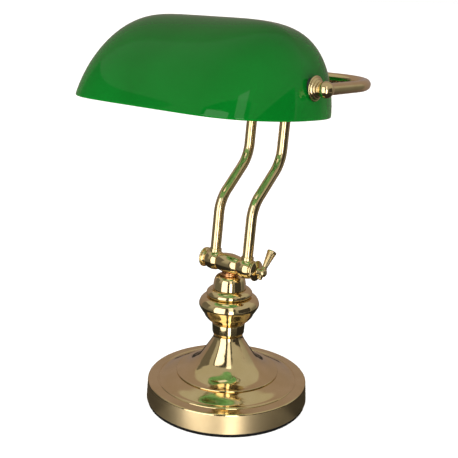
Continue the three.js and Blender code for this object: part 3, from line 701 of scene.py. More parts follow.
def make_base():
    pad = reach("base_pad")
    top = heights("base_pad")[1]
    felt = [(0, 0), (pad, 0, 0.7), (pad, top, 0.5), (0, top)]
    fitted(turned("felt_foot", eased(felt), sides=192), "stand", "base_pad", "black_felt", FELT)

    rim_top = 23.4
    crown_top = 31
    wall = 1.4
    corner = 1.5
    rise = [
        (crown_radius + 16.4, rim_top + 1.3),
        (crown_radius + 14, rim_top + 1.9),
        (crown_radius + 8, rim_top + 4.6),
        (crown_radius + 3.4, crown_top - 1.2),
        (crown_radius + 0.4, crown_top - 0.1),
    ]
    outer = [
        (band_radius, band_foot),
        (rim_radius + 0.9, rim_top - 12),
        *arc(rim_radius - corner + 0.2, rim_top - corner, corner, 0, 90),
        (rim_radius - 9.4, rim_top + 0.5),
        *arc(rim_radius - 10.2, rim_top + 0.5, 0.8, 0, 160, 6),
        *flowing(rise, 5),
        (crown_radius - 1, crown_top),
        (bore, crown_top + 0.2),
    ]
    cover = turned("spun_cover", shell_of(outer, wall), sides=256)
    cover = carved(cover, plug(INLET_RADIUS, 60, 100, INLET))
    for face in cover.data.polygons:
        out = hypot(face.center.x, face.center.y) / MM
        low = face.center.z / MM < rim_top - corner
        face.material_index = int(low and out > rim_radius - 1 and abs(face.normal.z) < 0.3)
    fitted(cover, "stand", "base_cover", "spun_brass", BRASS_STAND, SATIN_BAND)

    edge = rim_radius - wall - 3
    foot = band_foot
    hub = crown_top - wall - FIT
    ballast = [
        (bore, foot + 7, 0.5),
        (17, foot + 7, 0.5),
        (17, foot, 1),
        (edge, foot, 3),
        (edge, foot + 11, 3),
        (25, foot + 11, 4),
        (22, foot + 15, 2),
        (22, hub, 0.8),
        (bore, hub, 0.5),
    ]
    iron = turned("ballast", eased(ballast), sides=128)
    groove = slab(9, edge, 7.3, Matrix.Translation((0, edge / 2 + 10, foot + 3.5)))
    fitted(carved(iron, groove), "stand", "base_weight", "cast_iron", IRON)

    low, high = heights("base_washer")
    washer = ring("clamp_washer", bore, 12, low, high, ease=0.2)
    fitted(washer, "stand", "base_washer", "plated_steel", STEEL_STAND)
    low, high = heights("base_nut")
    nut = hex_nut("foot_nut", 16, low, high, STAND)
    fitted(nut, "stand", "base_nut", "plated_steel", STEEL_STAND)

    inner = 3.2
    start, end = extent("cord_inlet", 1)
    bush = [
        (inner, start, 0.4),
        (inner + 1.4, start, 0.4),
        (inner + 1.4, end - 2.1),
        (inner + 3.2, end - 2.1, 0.3),
        (inner + 2.6, end - 0.4, 0.9),
        (inner + 0.6, end, 0.6),
        (inner, end - 0.6, 0.4),
    ]
    bush = turned("inlet_bush", eased(bush), INLET, 64)
    fitted(bush, "stand", "cord_inlet", "black_plastic", PLASTIC)


def hex_nut(name, across, low, high, place):
    """A bored nut with the corners of its faces turned off."""
    corner = across / sqrt(3)
    chamfer = 0.7
    wide = corner + 0.1
    body = turned(name, [(0, low), (corner, low), (corner, high), (0, high)], place, 6)
    foot = [(0, low), (wide - 1.2, low), (wide, low + chamfer)]
    top = [(wide, high - chamfer), (wide - 1.2, high), (0, high)]
    keep = turned("turned_corners", [*foot, *top], place, 64)
    body = carved(body, keep, operation="INTERSECT")
    return carved(body, plug(bore, low - 1, high + 1, place))


# ------------------------------------------------------------------ column


def size_of(node):
    """The lowest and highest level of a piece of the column, and its radius."""
    return *heights(node), reach(node)


def stem_brass(name, outline, node, sides=128):
    piece = turned(name, eased(outline), sides=sides)
    fitted(piece, "stand", node, "polished_brass", BRASS_STAND)


def make_column():
    low, high = heights("stem_rod")
    rod = ring("threaded_rod", ROD_BORE / 2, ROD_RADIUS, low, high, ease=0.4, sides=64)
    fitted(rod, "stand", "stem_rod", "plated_steel", STEEL_STAND)

    low, high = heights("stem_flare")
    neck = 14.4
    trumpet = [
        (crown_radius - 3, low + 1.7),
        (crown_radius - 7.6, low + 3.3),
        (crown_radius - 12.9, low + 6.1),
        (crown_radius - 18.2, low + 10.3),
        (crown_radius - 22.6, low + 14.8),
        (22.2, low + 23.4),
        (19.4, low + 27.7),
        (16.8, low + 31.9),
        (neck + 0.2, low + 36),
    ]
    outline = [
        (crown_radius + 0.2, low),
        *arc(crown_radius - 0.6, low + 0.5, 0.7, -40, 90, 8),
        *flowing(trumpet, 6),
        (neck, high - 0.3),
        (neck - 0.4, high),
        (bore, high),
    ]
    flare = turned("trumpet_foot", shell_of(outline, 1.8), sides=192)
    fitted(flare, "stand", "stem_flare", "polished_brass", BRASS_STAND)

    low, high, wide = size_of("stem_neck")
    neck = [
        (bore, low),
        (wide - 1.6, low, 0.5),
        (wide - 0.5, low + 1.8, 1.2),
        (wide, low + 9, 4),
        (wide, high, 0.9),
        (bore, high),
    ]
    stem_brass("neck", neck, "stem_neck")

    low, high, wide = size_of("stem_bowl")
    bowl = [
        (bore, low),
        (wide - 13.3, low, 0.5),
        (wide - 10.8, low + 2.3, 0.8),
        (wide - 9, low + 3.9, 0.8),
        (wide - 6, low + 7.6, 1.2),
        (wide - 5.6, low + 8.9, 0.5),
        (wide - 4.9, low + 10.3, 0.5),
        (wide - 1.7, low + 15.2, 2),
        (wide + 0.2, low + 18.9, 3.4),
        (wide - 1.1, low + 23, 1.6),
        (wide - 2.8, low + 25.3, 1.2),
        (wide - 5.2, high - 0.3, 0.8),
        (wide - 6.2, high, 0.4),
        (bore, high),
    ]
    stem_brass("bowl", bowl, "stem_bowl", 160)

    low, high, wide = size_of("stem_dome")
    dome = [
        (bore, low),
        (wide - 1.4, low, 0.4),
        *arc(wide - 3.2, low + 2.8, 3.2, -45, 42, 10),
        (wide - 2.1, low + 6.3, 0.8),
        (wide - 3.6, low + 7.3, 0.8),
        (wide - 5.3, high, 0.4),
        (bore, high),
    ]
    stem_brass("dome", dome, "stem_dome")

    low, high, wide = size_of("stem_cap")
    wall = [(wide - 0.1, low + 1), (wide - 0.5, low + 5), (wide - 1.1, low + 8.3)]
    shoulder = [(wide - 2.2, low + 10.8), (wide - 3.7, low + 12.3), (wide - 5.6, high - 0.1)]
    cap = [(bore, low), (wide, low, 0.3), *flowing([*wall, *shoulder], 6), (bore, high)]
    stem_brass("cap", cap, "stem_cap")

    low, high, wide = size_of("collar_ring")
    sleeve = [
        (KNUCKLE_NECK + FIT, low),
        (wide, low, 0.5),
        (wide - 0.2, low + 1.2, 0.6),
        (wide - 0.9, low + 1.9, 0.6),
        (wide - 0.5, high, 0.3),
        (KNUCKLE_NECK + FIT, high),
    ]
    saddle = barrel("saddle", reach("centre_knuckle"), BOLT_RADIUS, PIVOT, FIT)
    collar = carved(turned("copper_ring", eased(sleeve), sides=128), saddle)
    fitted(collar, "stand", "collar_ring", "copper_ring", COPPER_COLLAR)


# ------------------------------------------------------------------ lower pivot

BOLT_RADIUS = 3
KNUCKLE_RADIUS = 10
KNUCKLE_END = 8.3
KNUCKLE_NECK = 7
bolt_bore = BOLT_RADIUS + PLAY
arm_low, arm_high = extent("arm_right", 0)
arm_x = (arm_low + arm_high) / 2
arm_radius = 5.15
yoke_radius = 4.85


def barrel(name, half, hole, place, growth=0):
    """A bored barrel about X, fuller at its middle, with eased ends."""
    end = KNUCKLE_END + growth
    rise = KNUCKLE_RADIUS - KNUCKLE_END
    side = [(end + rise * (1 - (t / 8) ** 2), half * (t / 8)) for t in range(-7, 8)]
    outline = [(hole, -half, 0.3), (end, -half, 0.9), *side, (end, half, 0.9), (hole, half, 0.3)]
    return turned(name, eased(outline, 4), place @ ABOUT_X, 96)


def boss(name, radius, low, high, place, ease=0.5):
    outline = [(0, low), (radius, low), (radius, high, ease), (0, high)]
    return turned(name, eased(outline, 4), place, 64)


def socketed_barrel(name, hole, place, upward):
    """A barrel with a low boss that takes the end of an arm, on its upper or lower side."""
    half = 7.2
    flip = Matrix() if upward else Matrix.Rotation(pi, 4, "X")
    stand = place @ flip
    mouth = KNUCKLE_RADIUS + 1.4
    body = barrel(name, half, hole, place)
    body = joined(body, boss("boss", arm_radius + 0.9, 4, mouth, stand))
    socket = plug(arm_radius + 0.25, 8.7, mouth + 1, stand, 64)
    return carved(body, socket, plug(hole, -half - 1, half + 1, place @ ABOUT_X))


def make_centre_knuckle():
    foot = heights("centre_knuckle")[0] - pivot.z
    half = reach("centre_knuckle")
    body = barrel("centre_barrel", half, bolt_bore, PIVOT)
    neck = [(0, foot), (KNUCKLE_NECK, foot, 0.4), (KNUCKLE_NECK, -8), (6.4, -5), (0, -5)]
    body = joined(body, turned("neck", eased(neck), PIVOT, 64))
    rod_hole = plug(bore, foot - 1, -5.8, PIVOT, 64)
    body = carved(body, rod_hole, plug(bolt_bore, -half - 1, half + 1, PIVOT @ ABOUT_X))
    fitted(body, "stand", "centre_knuckle", "polished_brass", BRASS_PIVOT)


def make_bolt():
    along = ARMS @ ABOUT_X
    low, high = extent("pivot_bolt", 0)
    bolt = ring("pivot_pin", 0, BOLT_RADIUS, low, high, along, 0.5, 48)
    fitted(bolt, "arms", "pivot_bolt", "plated_steel", STEEL_PIVOT)

    start, end = extent("clamp_flange", 0)
    flange = [
        (bolt_bore, start),
        (7.8, start, 0.3),
        (7.3, start + 1.4, 0.8),
        (8.4, start + 2.9, 0.8),
        (10, start + 3.7, 0.5),
        (9.9, start + 4.5, 0.4),
        (6.4, end - 0.7, 1.2),
        (4.4, end, 0.4),
        (bolt_bore, end),
    ]
    flange = turned("flange", eased(flange), along, 96)
    fitted(flange, "arms", "clamp_flange", "polished_brass", BRASS_PIVOT)

    end, start = extent("bolt_button", 0)
    start, end = -start, -end
    button = [
        (bolt_bore, start),
        (7.8, start, 0.3),
        (7.2, start + 1.5, 0.9),
        (8.2, start + 2.9, 0.8),
        (10, start + 3.6, 0.7),
        (9.7, start + 5, 1),
        (6, end - 0.4, 2.5),
        (0, end),
        (0, end - 2.3),
        (bolt_bore, end - 2.3),
    ]
    button = turned("button", eased(button), ARMS @ HALF_TURN @ ABOUT_X, 96)
    fitted(button, "arms", "bolt_button", "polished_brass", BRASS_PIVOT)


# ------------------------------------------------------------------ arms


def arm_path(x):
    """The arm's middle line: up, back across the S and up again."""
    end = 9
    rise = ARM_BEND_RADIUS * sin(ARM_BEND)
    run = ARM_BEND_RADIUS * (1 - cos(ARM_BEND))
    slope = (ARM_OFFSET - 2 * run) / (2 * sin(ARM_BEND) / cos(ARM_BEND))
    start = ARM_STEP_HEIGHT - rise - slope
    steps = 24
    turns = [ARM_BEND * i / steps for i in range(steps + 1)]
    lower = [(ARM_BEND_RADIUS * (1 - cos(a)), start + ARM_BEND_RADIUS * sin(a)) for a in turns]
    upper = [(ARM_OFFSET - y, ARM_STEP_HEIGHT * 2 - z) for y, z in reversed(lower)]
    line = [(0, end), *lower, *upper, (ARM_OFFSET, arm_reach - end)]
    return [(x, y, z) for y, z in line]


def make_arms():
    for side, x in (("left", -arm_x), ("right", arm_x)):
        shift = Matrix.Translation((x, 0, 0))
        knuckle = socketed_barrel("barrel_" + side, bolt_bore, ARMS @ shift, True)
        fitted(knuckle, "arms", "arm_knuckle_" + side, "polished_brass", BRASS_PIVOT)
        path = chain("path", arm_path(x), ARMS)
        sizes = {"Radius": arm_radius * MM, "Sides": 48}
        arm = TUBE.make("bent_arm_" + side, path, **sizes, Finish=BRASS_ARMS)
        fitted(arm, "arms", "arm_" + side, "polished_brass", BRASS_ARMS)
        clamp = socketed_barrel("bar_clamp_" + side, yoke_radius + PLAY, CLAMP @ shift, False)
        fitted(clamp, "arms", "yoke_clamp_" + side, "polished_brass", BRASS_YOKE)


# ------------------------------------------------------------------ thumb screw


def make_thumb_screw():
    start, end = extent("screw_hub", 0)
    along = SCREW @ ABOUT_X
    radius = 4.1
    hub = [
        (0, start + 0.4),
        (radius + 0.2, start + 0.4, 0.3),
        (radius, start + 1.4),
        (radius, end - 2.4, 0.8),
        (radius - 1.2, end - 0.8, 0.9),
        (0, end - 0.6),
    ]
    middle = (start + end) / 2
    across = SCREW @ Matrix.Translation((middle, 0, 0))
    hub = turned("hub", eased(hub), along, 64)
    stub = [(0, -7.2), (2.3, -7.2, 0.9), (2.5, -3), (0, -3)]
    root = [(0, 2.5), (2.9, 2.5), (2.7, 5.2, 0.5), (0, 5.2)]
    roots = [turned("root", eased(outline), across, 48) for outline in (stub, root)]
    hub = joined(hub, *roots)
    fitted(hub, "thumb_screw", "screw_hub", "polished_brass", BRASS_SCREW)

    foot = 5.5
    tip = 23
    root_radius, tip_radius = 2.3, 4.5
    lever = [
        (0, foot),
        (root_radius, foot, 0.3),
        (tip_radius - 0.5, tip - 2.6, 0.2),
        (tip_radius + 0.1, tip - 2.2, 0.3),
        (tip_radius + 0.2, tip - 0.4, 0.5),
        (tip_radius - 0.8, tip, 0.4),
        (0, tip - 0.3),
    ]
    sizes = {
        "Low": (foot + 1) * MM,
        "High": (tip - 2.8) * MM,
        "Low_Radius": root_radius * MM,
        "High_Radius": (tip_radius - 0.5) * MM,
        "Ridge": 0.3 * MM,
    }
    body = in_metres("grip", eased(lever, 4))
    grip = FLUTES.make("fluted_lever", body, Count=30, Finish=BRASS_SCREW, **sizes)
    fitted(placed(grip, across), "thumb_screw", "screw_lever", "polished_brass", BRASS_SCREW)


# ------------------------------------------------------------------ yoke

BALL_RADIUS = 6.8
leg_x = extent("yoke_tube", 0)[1] - yoke_radius
cup_foot, cup_top = extent("cup_right", 0)


def yoke_path():
    """The yoke's middle line, from the left ball round the back bar to the right ball."""
    near = -yoke_depth + BALL_RADIUS - 3.3
    steps = 24
    turns = [pi / 2 * i / steps for i in range(steps + 1)]
    inner = leg_x - YOKE_BEND_RADIUS
    corner = [(inner + YOKE_BEND_RADIUS * cos(a), YOKE_BEND_RADIUS * (sin(a) - 1)) for a in turns]
    right = [(leg_x, near), *corner]
    left = [(-x, y) for x, y in reversed(right)]
    return [(x, y, 0) for x, y in [*right, *left]]


def wound_sizes(radius, low, high, pitch, crest):
    """What the thread tree is given, from millimetres."""
    sizes = {"Radius": radius, "Low": low, "High": high, "Pitch": pitch, "Crest": crest}
    return {label: value * MM for label, value in sizes.items()}


def make_yoke():
    path = chain("path", yoke_path(), YOKE)
    sizes = {"Radius": yoke_radius * MM, "Sides": 48}
    tube = TUBE.make("bent_yoke", path, **sizes, Finish=BRASS_YOKE)
    fitted(tube, "head", "yoke_tube", "polished_brass", BRASS_YOKE)

    half = reach("bar_collar")
    collar = ring("bar_ring", yoke_radius + PLAY, 8.4, -half, half, YOKE @ ABOUT_X, 0.8)
    down = YOKE @ Matrix.Rotation(pi, 4, "X")
    collar = carved(collar, plug(2.2, 2, 10, down, 32))
    fitted(collar, "head", "bar_collar", "polished_brass", BRASS_YOKE)
    screw = ring("grub_screw", 0, 1.9, yoke_radius + FIT, 8, down, 0.3, 32)
    slot = slab(6, 0.6, 1.6, down @ Matrix.Translation((0, 0, 8)))
    fitted(carved(screw, slot), "head", "bar_collar_screw", "plated_steel", STEEL_YOKE)

    for side, turn in (("left", HALF_TURN), ("right", Matrix())):
        end = HEAD @ turn
        ball = ball_end("ball_end_" + side, end, turn)
        fitted(ball, "head", "ball_" + side, "polished_brass", BRASS_HEAD)
        low, high = extent("nipple_right", 0)
        radius = 4.7
        pipe = [(3.2, low, 0.3), (radius, low, 0.4), (radius, high, 0.4), (3.2, high, 0.3)]
        body = in_metres("pipe", eased(pipe, 3))
        sizes = wound_sizes(radius, low + 1, high - 1, 1, 0.35)
        pipe = THREAD.make("nipple_pipe_" + side, body, Finish=STEEL_HEAD, **sizes)
        placed(pipe, end @ ABOUT_X)
        fitted(pipe, "head", "nipple_" + side, "plated_steel", STEEL_HEAD)


def ball_end(name, end, turn):
    """A ball with a short neck to the cup, a hole for the nipple and one for the yoke's leg."""
    foot = cup_top + FIT
    neck = 6.0
    meet = leg_x - sqrt(BALL_RADIUS**2 - (neck - 0.4) ** 2)
    turns = [radians(degrees) for degrees in range(125, 0, -5)]
    sphere = [(BALL_RADIUS * sin(a), leg_x + BALL_RADIUS * cos(a)) for a in turns]
    stem = [(0, foot), (neck, foot, 0.4), (neck, meet - 0.7, 0.3), (neck - 0.5, meet - 0.3)]
    outline = [*stem, *sphere, (0, leg_x + BALL_RADIUS)]
    ball = turned(name, eased(outline, 4), end @ ABOUT_X, 96)
    nipple_hole = plug(bore, foot - 1, leg_x - yoke_radius - 0.4, end @ ABOUT_X)
    back = end @ Matrix.Translation((leg_x, 0, 0)) @ turn @ Matrix.Rotation(-pi / 2, 4, "X")
    return carved(ball, nipple_hole, plug(yoke_radius + 0.2, 3, 12, back))


# ------------------------------------------------------------------ shade

GLASS_WALL = 3.5
SHADE_HALF = 113.4
SHADE_FRONT = 71.1
SHADE_BACK = 79.4
SHADE_DOME = 88.45
SHADE_CUT = 11.95  # rim above the widest section
LENGTH_POWER = 5.4
FRONT_POWER = 1.73
BACK_POWER = 2.77
CROWN_POWER = 1.87
CROWN_SHEAR = 0.169
RIM_LEVEL = 0.97  # level at which the columns of the shade are spaced evenly
GLASS = SHADE @ Matrix.Translation((0, -13.6, -25.8))  # the rim's middle is its origin


def signed_power(value, power):
    return (abs(value) ** power) * (1 if value >= 0 else -1)


def glass_point(turn, level, inset):
    """A point of the shade's surface, set in by inset; level is 1 at the widest section."""
    front = sin(turn) < 0
    depth = (SHADE_FRONT if front else SHADE_BACK) - inset
    power = FRONT_POWER if front else BACK_POWER
    z = (SHADE_DOME - inset) * (1 - level) ** (1 / CROWN_POWER)
    half = (SHADE_HALF - inset) * level ** (1 / LENGTH_POWER)
    x = half * signed_power(cos(turn), 2 / LENGTH_POWER)
    y = depth * level ** (1 / power) * signed_power(sin(turn), 2 / power)
    return x, y + CROWN_SHEAR * (z - SHADE_CUT), z - SHADE_CUT


def even_turns(level, count):
    """Turns that space the columns evenly along the rim."""
    fine = 6000
    walked = [0.0]
    last = Vector(glass_point(0, level, 0))
    for i in range(1, fine + 1):
        point = Vector(glass_point(2 * pi * i / fine, level, 0))
        walked.append(walked[-1] + (point - last).length)
        last = point
    turns, i = [], 0
    for n in range(count):
        while walked[i] < walked[-1] * n / count:
            i += 1
        turns.append(2 * pi * i / fine)
    return turns


def glass_rows(inset, above_rim, turns, rows):
    """Rows of points from a height above the rim plane to just below the crown."""
    full = 1 - ((SHADE_CUT + above_rim) / (SHADE_DOME - inset)) ** CROWN_POWER
    levels = [full * cos(pi / 2 * (i / rows) ** 0.9) ** 2 for i in range(rows)]
    return [[glass_point(turn, level, inset) for turn in turns] for level in levels]


def bands(rows, columns):
    """Faces between one row of points and the next."""
    faces = []
    for row in range(rows - 1):
        a, b = row * columns, (row + 1) * columns
        for i in range(columns):
            ahead = (i + 1) % columns
            faces.append((a + i, a + ahead, b + ahead, b + i))
    return faces


def fan(first, columns, middle):
    """Faces from a row of points to one in their middle."""
    return [(first + i, first + (i + 1) % columns, middle) for i in range(columns)]


def glass_shell(name, columns=224, rows=56):
    """The cased shell: its outer skin, a round lip and its inner skin."""
    lip = 1.5
    turns = even_turns(RIM_LEVEL, columns)
    outer = glass_rows(0, lip, turns, rows)
    inner = glass_rows(GLASS_WALL, lip, turns, rows)
    edge = []
    for i in range(1, 8):
        t = pi * i / 8
        share = (1 - cos(t)) / 2
        row = [Vector(a).lerp(Vector(b), share) for a, b in zip(outer[0], inner[0])]
        edge.append([(p.x, p.y, p.z - lip * sin(t)) for p in row])
    skins = [*reversed(outer), *edge, *inner]
    points = [p for row in skins for p in row]
    top = len(points)
    points += [glass_point(0, 0, 0), glass_point(0, 0, GLASS_WALL)]
    last = (len(skins) - 1) * columns
    crown = [(b, a, c) for a, b, c in fan(0, columns, top)]
    faces = [*crown, *bands(len(skins), columns), *fan(last, columns, top + 1)]
    piece = piece_of(name, points, faces, GLASS)
    inner_start = columns * (1 + rows + 2)
    for face in piece.data.polygons:
        face.material_index = int(face.index >= inner_start)
    return piece


def glass_solid(name, inset, above_rim):
    """A closed solid inside one skin of the shade, for cutting the gaskets."""
    columns, rows = 128, 28
    skin = glass_rows(inset, above_rim, even_turns(RIM_LEVEL, columns), rows)
    points = [p for row in skin for p in row]
    crown = len(points)
    points += [glass_point(0, 0, inset), (0, 0, above_rim)]
    faces = [*bands(rows, columns), *fan((rows - 1) * columns, columns, crown)]
    faces += [(b, a, c) for a, b, c in fan(0, columns, crown + 1)]
    return piece_of(name, points, faces, GLASS)


def make_shade():
    shell = glass_shell("cased_shade")
    hole_radius = 5.6
    past_end = 130  # beyond the shell on both sides
    shell = carved(shell, plug(hole_radius, -past_end, past_end, SHADE @ ABOUT_X, 64))
    fitted(shell, "shade", "shade_glass", "green_glass", GREEN, LINING, crease=60)

    for side, turn in (("left", HALF_TURN), ("right", Matrix())):
        end = SHADE @ turn @ ABOUT_X
        radius = 8.2
        inner_face, lip = extent("inner_gasket_right", 0)[0], extent("outer_gasket_right", 0)[1]
        outer = ring("outer_pad_" + side, bore, radius, inner_face, lip, end, 0.4)
        outer = carved(outer, glass_solid("outside", -FIT, 0.2))
        fitted(outer, "shade", "outer_gasket_" + side, "black_rubber", RUBBER)
        inner = ring("inner_pad_" + side, bore, radius, inner_face, cup_top, end, 0.4)
        inner = carved(inner, glass_solid("cavity", GLASS_WALL + FIT, 0.2), operation="INTERSECT")
        fitted(inner, "shade", "inner_gasket_" + side, "black_rubber", RUBBER)
        cup = turned("stepped_cup_" + side, eased(cup_outline(), 4), end, 96)
        fitted(cup, "shade", "cup_" + side, "polished_brass", BRASS_HEAD)
        low, high = extent("inner_washer_right", 0)
        washer = ring("washer_" + side, bore, radius + 0.4, low, high, end, 0.2)
        fitted(washer, "shade", "inner_washer_" + side, "polished_brass", BRASS_HEAD)


def cup_outline():
    """A stepped dome: a bright rim, a shoulder and a step up to the ball's neck."""
    radius = 10.3
    foot, top = cup_foot, cup_top
    return [
        (radius - 1, foot, 0.2),
        (radius, foot, 0.3),
        (radius + 0.05, foot + 1.1, 0.5),
        (radius - 0.8, foot + 1.5, 0.2),
        (radius - 1.2, foot + 1.4, 0.2),
        (radius - 1.5, foot + 2.3, 0.5),
        (radius - 2.4, foot + 3.2, 0.5),
        (radius - 2.9, foot + 3.1, 0.2),
        (radius - 3.2, foot + 3.9, 0.4),
        (radius - 4.2, top, 0.4),
        (bore, top),
        (bore, top - 1.5),
        (8.55, foot + 1),
    ]


# ------------------------------------------------------------------ lampholder and bulb


def leftward(node):
    """Nearest and farthest coordinate of a CAD node, counted to the left."""
    low, high = extent(node, 0)
    return -high, -low


def make_lampholder():
    low, high = extent("lock_nut", 0)
    nut = hex_nut("shade_nut", 15, low, high, HEAD @ ABOUT_X)
    fitted(nut, "head", "lock_nut", "plated_steel", STEEL_HEAD)

    left = HEAD @ HALF_TURN @ ABOUT_X
    radius = 19.5
    wall = 1.6
    inside = radius - wall
    foot, top = leftward("holder_cap")
    neck = 11
    cap = [
        (bore, top),
        (neck, top, 0.8),
        (neck + 2, top - 2, 1),
        (radius - 1, foot + 4, 2.2),
        (radius, foot + 2.6, 0.6),
        (radius, foot, 0.3),
        (inside, foot),
        (inside, foot + 2),
        (neck + 1.5, top - 4, 1),
        (bore, top - 4),
    ]
    cap = turned("socket_cap", eased(cap), left, 96)
    fitted(cap, "head", "holder_cap", "polished_brass", BRASS_HEAD)

    low, high = leftward("holder_shell")
    beads = []
    for centre in (low + 3, high - 5):
        bead = arc(radius - 0.6, centre, 1.1, -50, 50, 8)
        beads += [(radius - 0.3, centre - 1.4), *bead, (radius - 0.3, centre + 1.4)]
    shell = [(inside, low), (radius - 0.3, low, 0.4), *beads, (radius, high, 0.3), (inside, high)]
    shell = turned("socket_shell", eased(shell), left, 96)
    fitted(shell, "head", "holder_shell", "polished_brass", BRASS_HEAD)

    low, high = leftward("holder_insert")
    inner = 14.85
    outside = [(0, high), (16.6, high, 0.6), (16.6, low, 0.8)]
    insert = [*outside, (inner, low, 0.5), (inner, high - 5), (0, high - 5)]
    insert = turned("porcelain_body", eased(insert), left, 96)
    fitted(insert, "head", "holder_insert", "white_ceramic", CERAMIC)

    low, high = leftward("thread_sleeve")
    sleeve = ring("lamp_thread", 13.55, 14.5, low, high, left, 0.2)
    fitted(sleeve, "head", "thread_sleeve", "copper_ring", COPPER_CONTACTS)
    low, high = leftward("centre_contact")
    contact = [(0, low), (3.4, low, 0.9), (3.4, high, 0.2), (0, high)]
    contact = turned("contact_button", eased(contact), left, 48)
    fitted(contact, "head", "centre_contact", "copper_ring", COPPER_CONTACTS)

    low, high = leftward("bulb_cap")
    cap = [
        (0, high),
        (4.6, high, 0.5),
        (6, high - 1.6, 0.6),
        (11.4, high - 3.6, 0.8),
        (12.7, high - 5.4, 0.6),
        (12.7, low, 0.4),
        (11.9, low, 0.2),
        (11.9, high - 6, 0.5),
        (0, high - 4),
    ]
    body = in_metres("cap_body", eased(cap, 4), 72)
    sizes = wound_sizes(12.6, low + 3, high - 7, 3.6, 0.6)
    screw = THREAD.make("screw_cap", body, Finish=STEEL_HEAD, **sizes)
    fitted(placed(screw, left), "head", "bulb_cap", "plated_steel", STEEL_HEAD)

    low, high = leftward("bulb_glass")
    bulb_radius = 19

    def outline(inset):
        side = [(12.2, high), (12.8, high - 6), (17.2, high - 15)]
        side += [(bulb_radius, high - 24), (bulb_radius, low + 14)]
        side = [(r - inset, z) for r, z in flowing(side, 8)]
        return [*side, *arc(bulb_radius - 11, low + 11, 11 - inset, 0, -78, 12), (0, low + inset)]

    bulb = turned("bulb", [*outline(0), *reversed(outline(1))], left, 96)
    fitted(bulb, "head", "bulb_glass", "opal_glass", OPAL)


# ------------------------------------------------------------------ the whole lamp

make_base()
make_column()
make_centre_knuckle()
make_bolt()
make_arms()
make_thumb_screw()
make_yoke()
make_shade()
make_lampholder()

# ------------------------------------------------------------------ floor and light


def make_floor():
    """A plain pale floor that the polished metal doesn't mirror."""
    bpy.ops.mesh.primitive_plane_add(size=400)
    floor = bpy.context.object
    floor.name = "floor"
    paper = Finish("paper")
    paper.colours(paper.noise(3.0), (0.86, 0.86, 0.86), (0.88, 0.88, 0.88))
    paper.rough(paper.noise(40.0), 0.8, 0.9)
    floor.data.materials.append(paper.material)
    floor.visible_glossy = False
    floor.visible_shadow = False
    return floor


def ramp_of(sky, share, tones, tint):
    """A colour ramp over the height of a direction, from straight down to straight up."""
    ramp = sky.node("ShaderNodeValToRGB", {"Fac": share})
    stops = ramp.color_ramp.elements
    while len(stops) < len(tones):
        stops.new(0.5)
    for stop, (place, tone) in zip(stops, tones):
        stop.position = place
        stop.color = (tone * tint[0], tone * tint[1], tone * tint[2], 1)
    return ramp.outputs["Color"]


def mixed(sky, share, first, second):
    inputs = {"Factor": share, 6: first, 7: second}
    return sky.node("ShaderNodeMix", inputs, data_type="RGBA").outputs[2]


def make_sky():
    """Studio surroundings: a bright half in front, a warmer and dimmer one behind, dark below."""
    world = bpy.data.worlds.new("studio")
    bpy.context.scene.world = world
    world.use_nodes = True
    sky = Nodes(world.node_tree)
    direction = sky.node("ShaderNodeTexCoord").outputs["Generated"]
    height = sky.node("ShaderNodeSeparateXYZ", {"Vector": direction}).outputs["Z"]
    inputs = {"Value": height, "From Min": -1.0}
    share = sky.node("ShaderNodeMapRange", inputs).outputs["Result"]
    forward = (sin(radians(FRONT)), -cos(radians(FRONT)), 0.0)
    inputs = {0: direction, 1: forward}
    dot = sky.node("ShaderNodeVectorMath", inputs, operation="DOT_PRODUCT")
    inputs = {"Value": dot.outputs["Value"], "From Min": SEAM[0], "From Max": SEAM[1]}
    front = sky.node("ShaderNodeMapRange", inputs, interpolation_type="SMOOTHSTEP")
    behind = ramp_of(sky, share, BEHIND_TONES, (1, 0.80, 0.74))
    ahead = ramp_of(sky, share, FRONT_TONES, (1, 0.97, 0.84))
    studio = mixed(sky, front.outputs["Result"], behind, ahead)
    seen = sky.node("ShaderNodeLightPath").outputs["Is Camera Ray"]
    backdrop = mixed(sky, seen, studio, (1, 1, 1, 1))
    sky.tree.links.new(backdrop, sky.tree.nodes["Background"].inputs["Color"])


def facing(azimuth, elevation, distance):
    """Where a light stands, turned to face the lamp; azimuth 0 is in front, 90 at its right."""
    a, e = radians(azimuth), radians(elevation)
    away = Vector((sin(a) * cos(e), -cos(a) * cos(e), sin(e)))
    place = Matrix.Translation((cad_low + cad_high) / 2 + away * distance)
    return place @ away.to_track_quat("Z", "Y").to_matrix().to_4x4()


def softbox(name, azimuth, elevation, distance, width, height, brightness):
    light = bpy.data.lights.new(name, "AREA")
    light.shape = "RECTANGLE"
    light.size = width
    light.size_y = height
    light.energy = brightness * width * height * pi
    light.color = (1, 0.98, 0.95)
    box = linked(name, light)
    box.matrix_world = facing(azimuth, elevation, distance)
    box.visible_camera = False


def card(name, mesh, tone):
    """A card that only polished things see, glowing evenly with the given tone."""
    paint = Finish(name)
    paint.colours(paint.noise(3.0), (0.0, 0.0, 0.0), (0.002, 0.002, 0.002))
    paint.rough(paint.noise(9.0), 0.9, 1.0)
    paint.shader.inputs["Specular IOR Level"].default_value = 0.0
    paint.shader.inputs["Emission Color"].default_value = (tone, tone * 0.93, tone * 0.82, 1)
    paint.shader.inputs["Emission Strength"].default_value = 1.0
    mesh.materials.append(paint.material)
    panel = linked(name, mesh)
    panel.visible_camera = False
    panel.visible_diffuse = False
    panel.visible_shadow = False


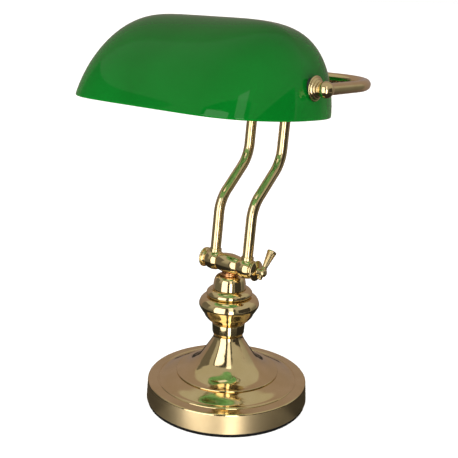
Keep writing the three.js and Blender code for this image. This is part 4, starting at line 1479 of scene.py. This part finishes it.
def flag(name, azimuth, elevation, distance, width, height, tone):
    corners = [(x * width / 2, y * height / 2, 0) for x, y in ((-1, -1), (1, -1), (1, 1), (-1, 1))]
    place = facing(azimuth, elevation, distance)
    mesh = bpy.data.meshes.new(name)
    mesh.from_pydata([place @ Vector(c) for c in corners], [], [(0, 1, 2, 3)])
    card(name, mesh, tone)


def dark_table(name, start, end, radius, tone):
    """The near part of the table that the lower brass mirrors, as a fan about the lamp."""
    steps = 48
    lift = 0.0002
    rim = []
    for i in range(steps + 1):
        a = radians(FRONT + start + (end - start) * i / steps)
        rim.append((radius * sin(a), -radius * cos(a), lift))
    mesh = bpy.data.meshes.new(name)
    mesh.from_pydata([(0, 0, lift), *rim], [], [(0, i, i + 1) for i in range(1, steps + 1)])
    card(name, mesh, tone)


def floor_light(floor):
    """An even light for the floor alone."""
    light = bpy.data.lights.new("floor_light", "SUN")
    light.energy = 3.4
    light.angle = radians(60)
    light.use_shadow = False
    lamp = linked("floor_light", light)
    only = bpy.data.collections.new("floor_only")
    only.objects.link(floor)
    lamp.light_linking.receiver_collection = only


FRONT = 38.2  # azimuth that the eye looks from
SEAM = (-0.54, -0.48)  # cosines from FRONT between which the back half takes over
# Pairs of a share of the way from straight down to straight up, and a tone.
BEHIND_TONES = [(0.0, 0.035), (0.2, 0.035), (0.3, 0.24), (0.5, 0.30), (0.62, 0.34), (1.0, 0.38)]
FRONT_LOW_TONES = [(0.0, 0.035), (0.2, 0.04), (0.34, 0.15), (0.52, 0.20)]
FRONT_TONES = [*FRONT_LOW_TONES, (0.6, 0.36), (0.76, 0.50), (1.0, 0.50)]

floor = make_floor()
make_sky()
floor_light(floor)
dark_table("dark_table", 62, 298, 0.33, 0.03)
softbox("key", 2, 4, 1.6, 1.22, 2.3, 2.2)
softbox("strip", 47, -12, 1.6, 0.44, 1.5, 4.5)
softbox("high_strip", 47, 33, 1.6, 0.44, 1.0, 1.4)
flag("black_flag", 20, 6, 1.9, 3.6, 3.4, 0.06)
flag("side_flag", 100, 2, 1.95, 1.9, 1.5, 0.05)
flag("side_glow", 100, 2, 2.0, 2.15, 1.75, 0.5)
flag("left_flag", -66, 12, 1.9, 1.3, 1.5, 0.16)
bpy.context.scene.view_settings.view_transform = "Standard"
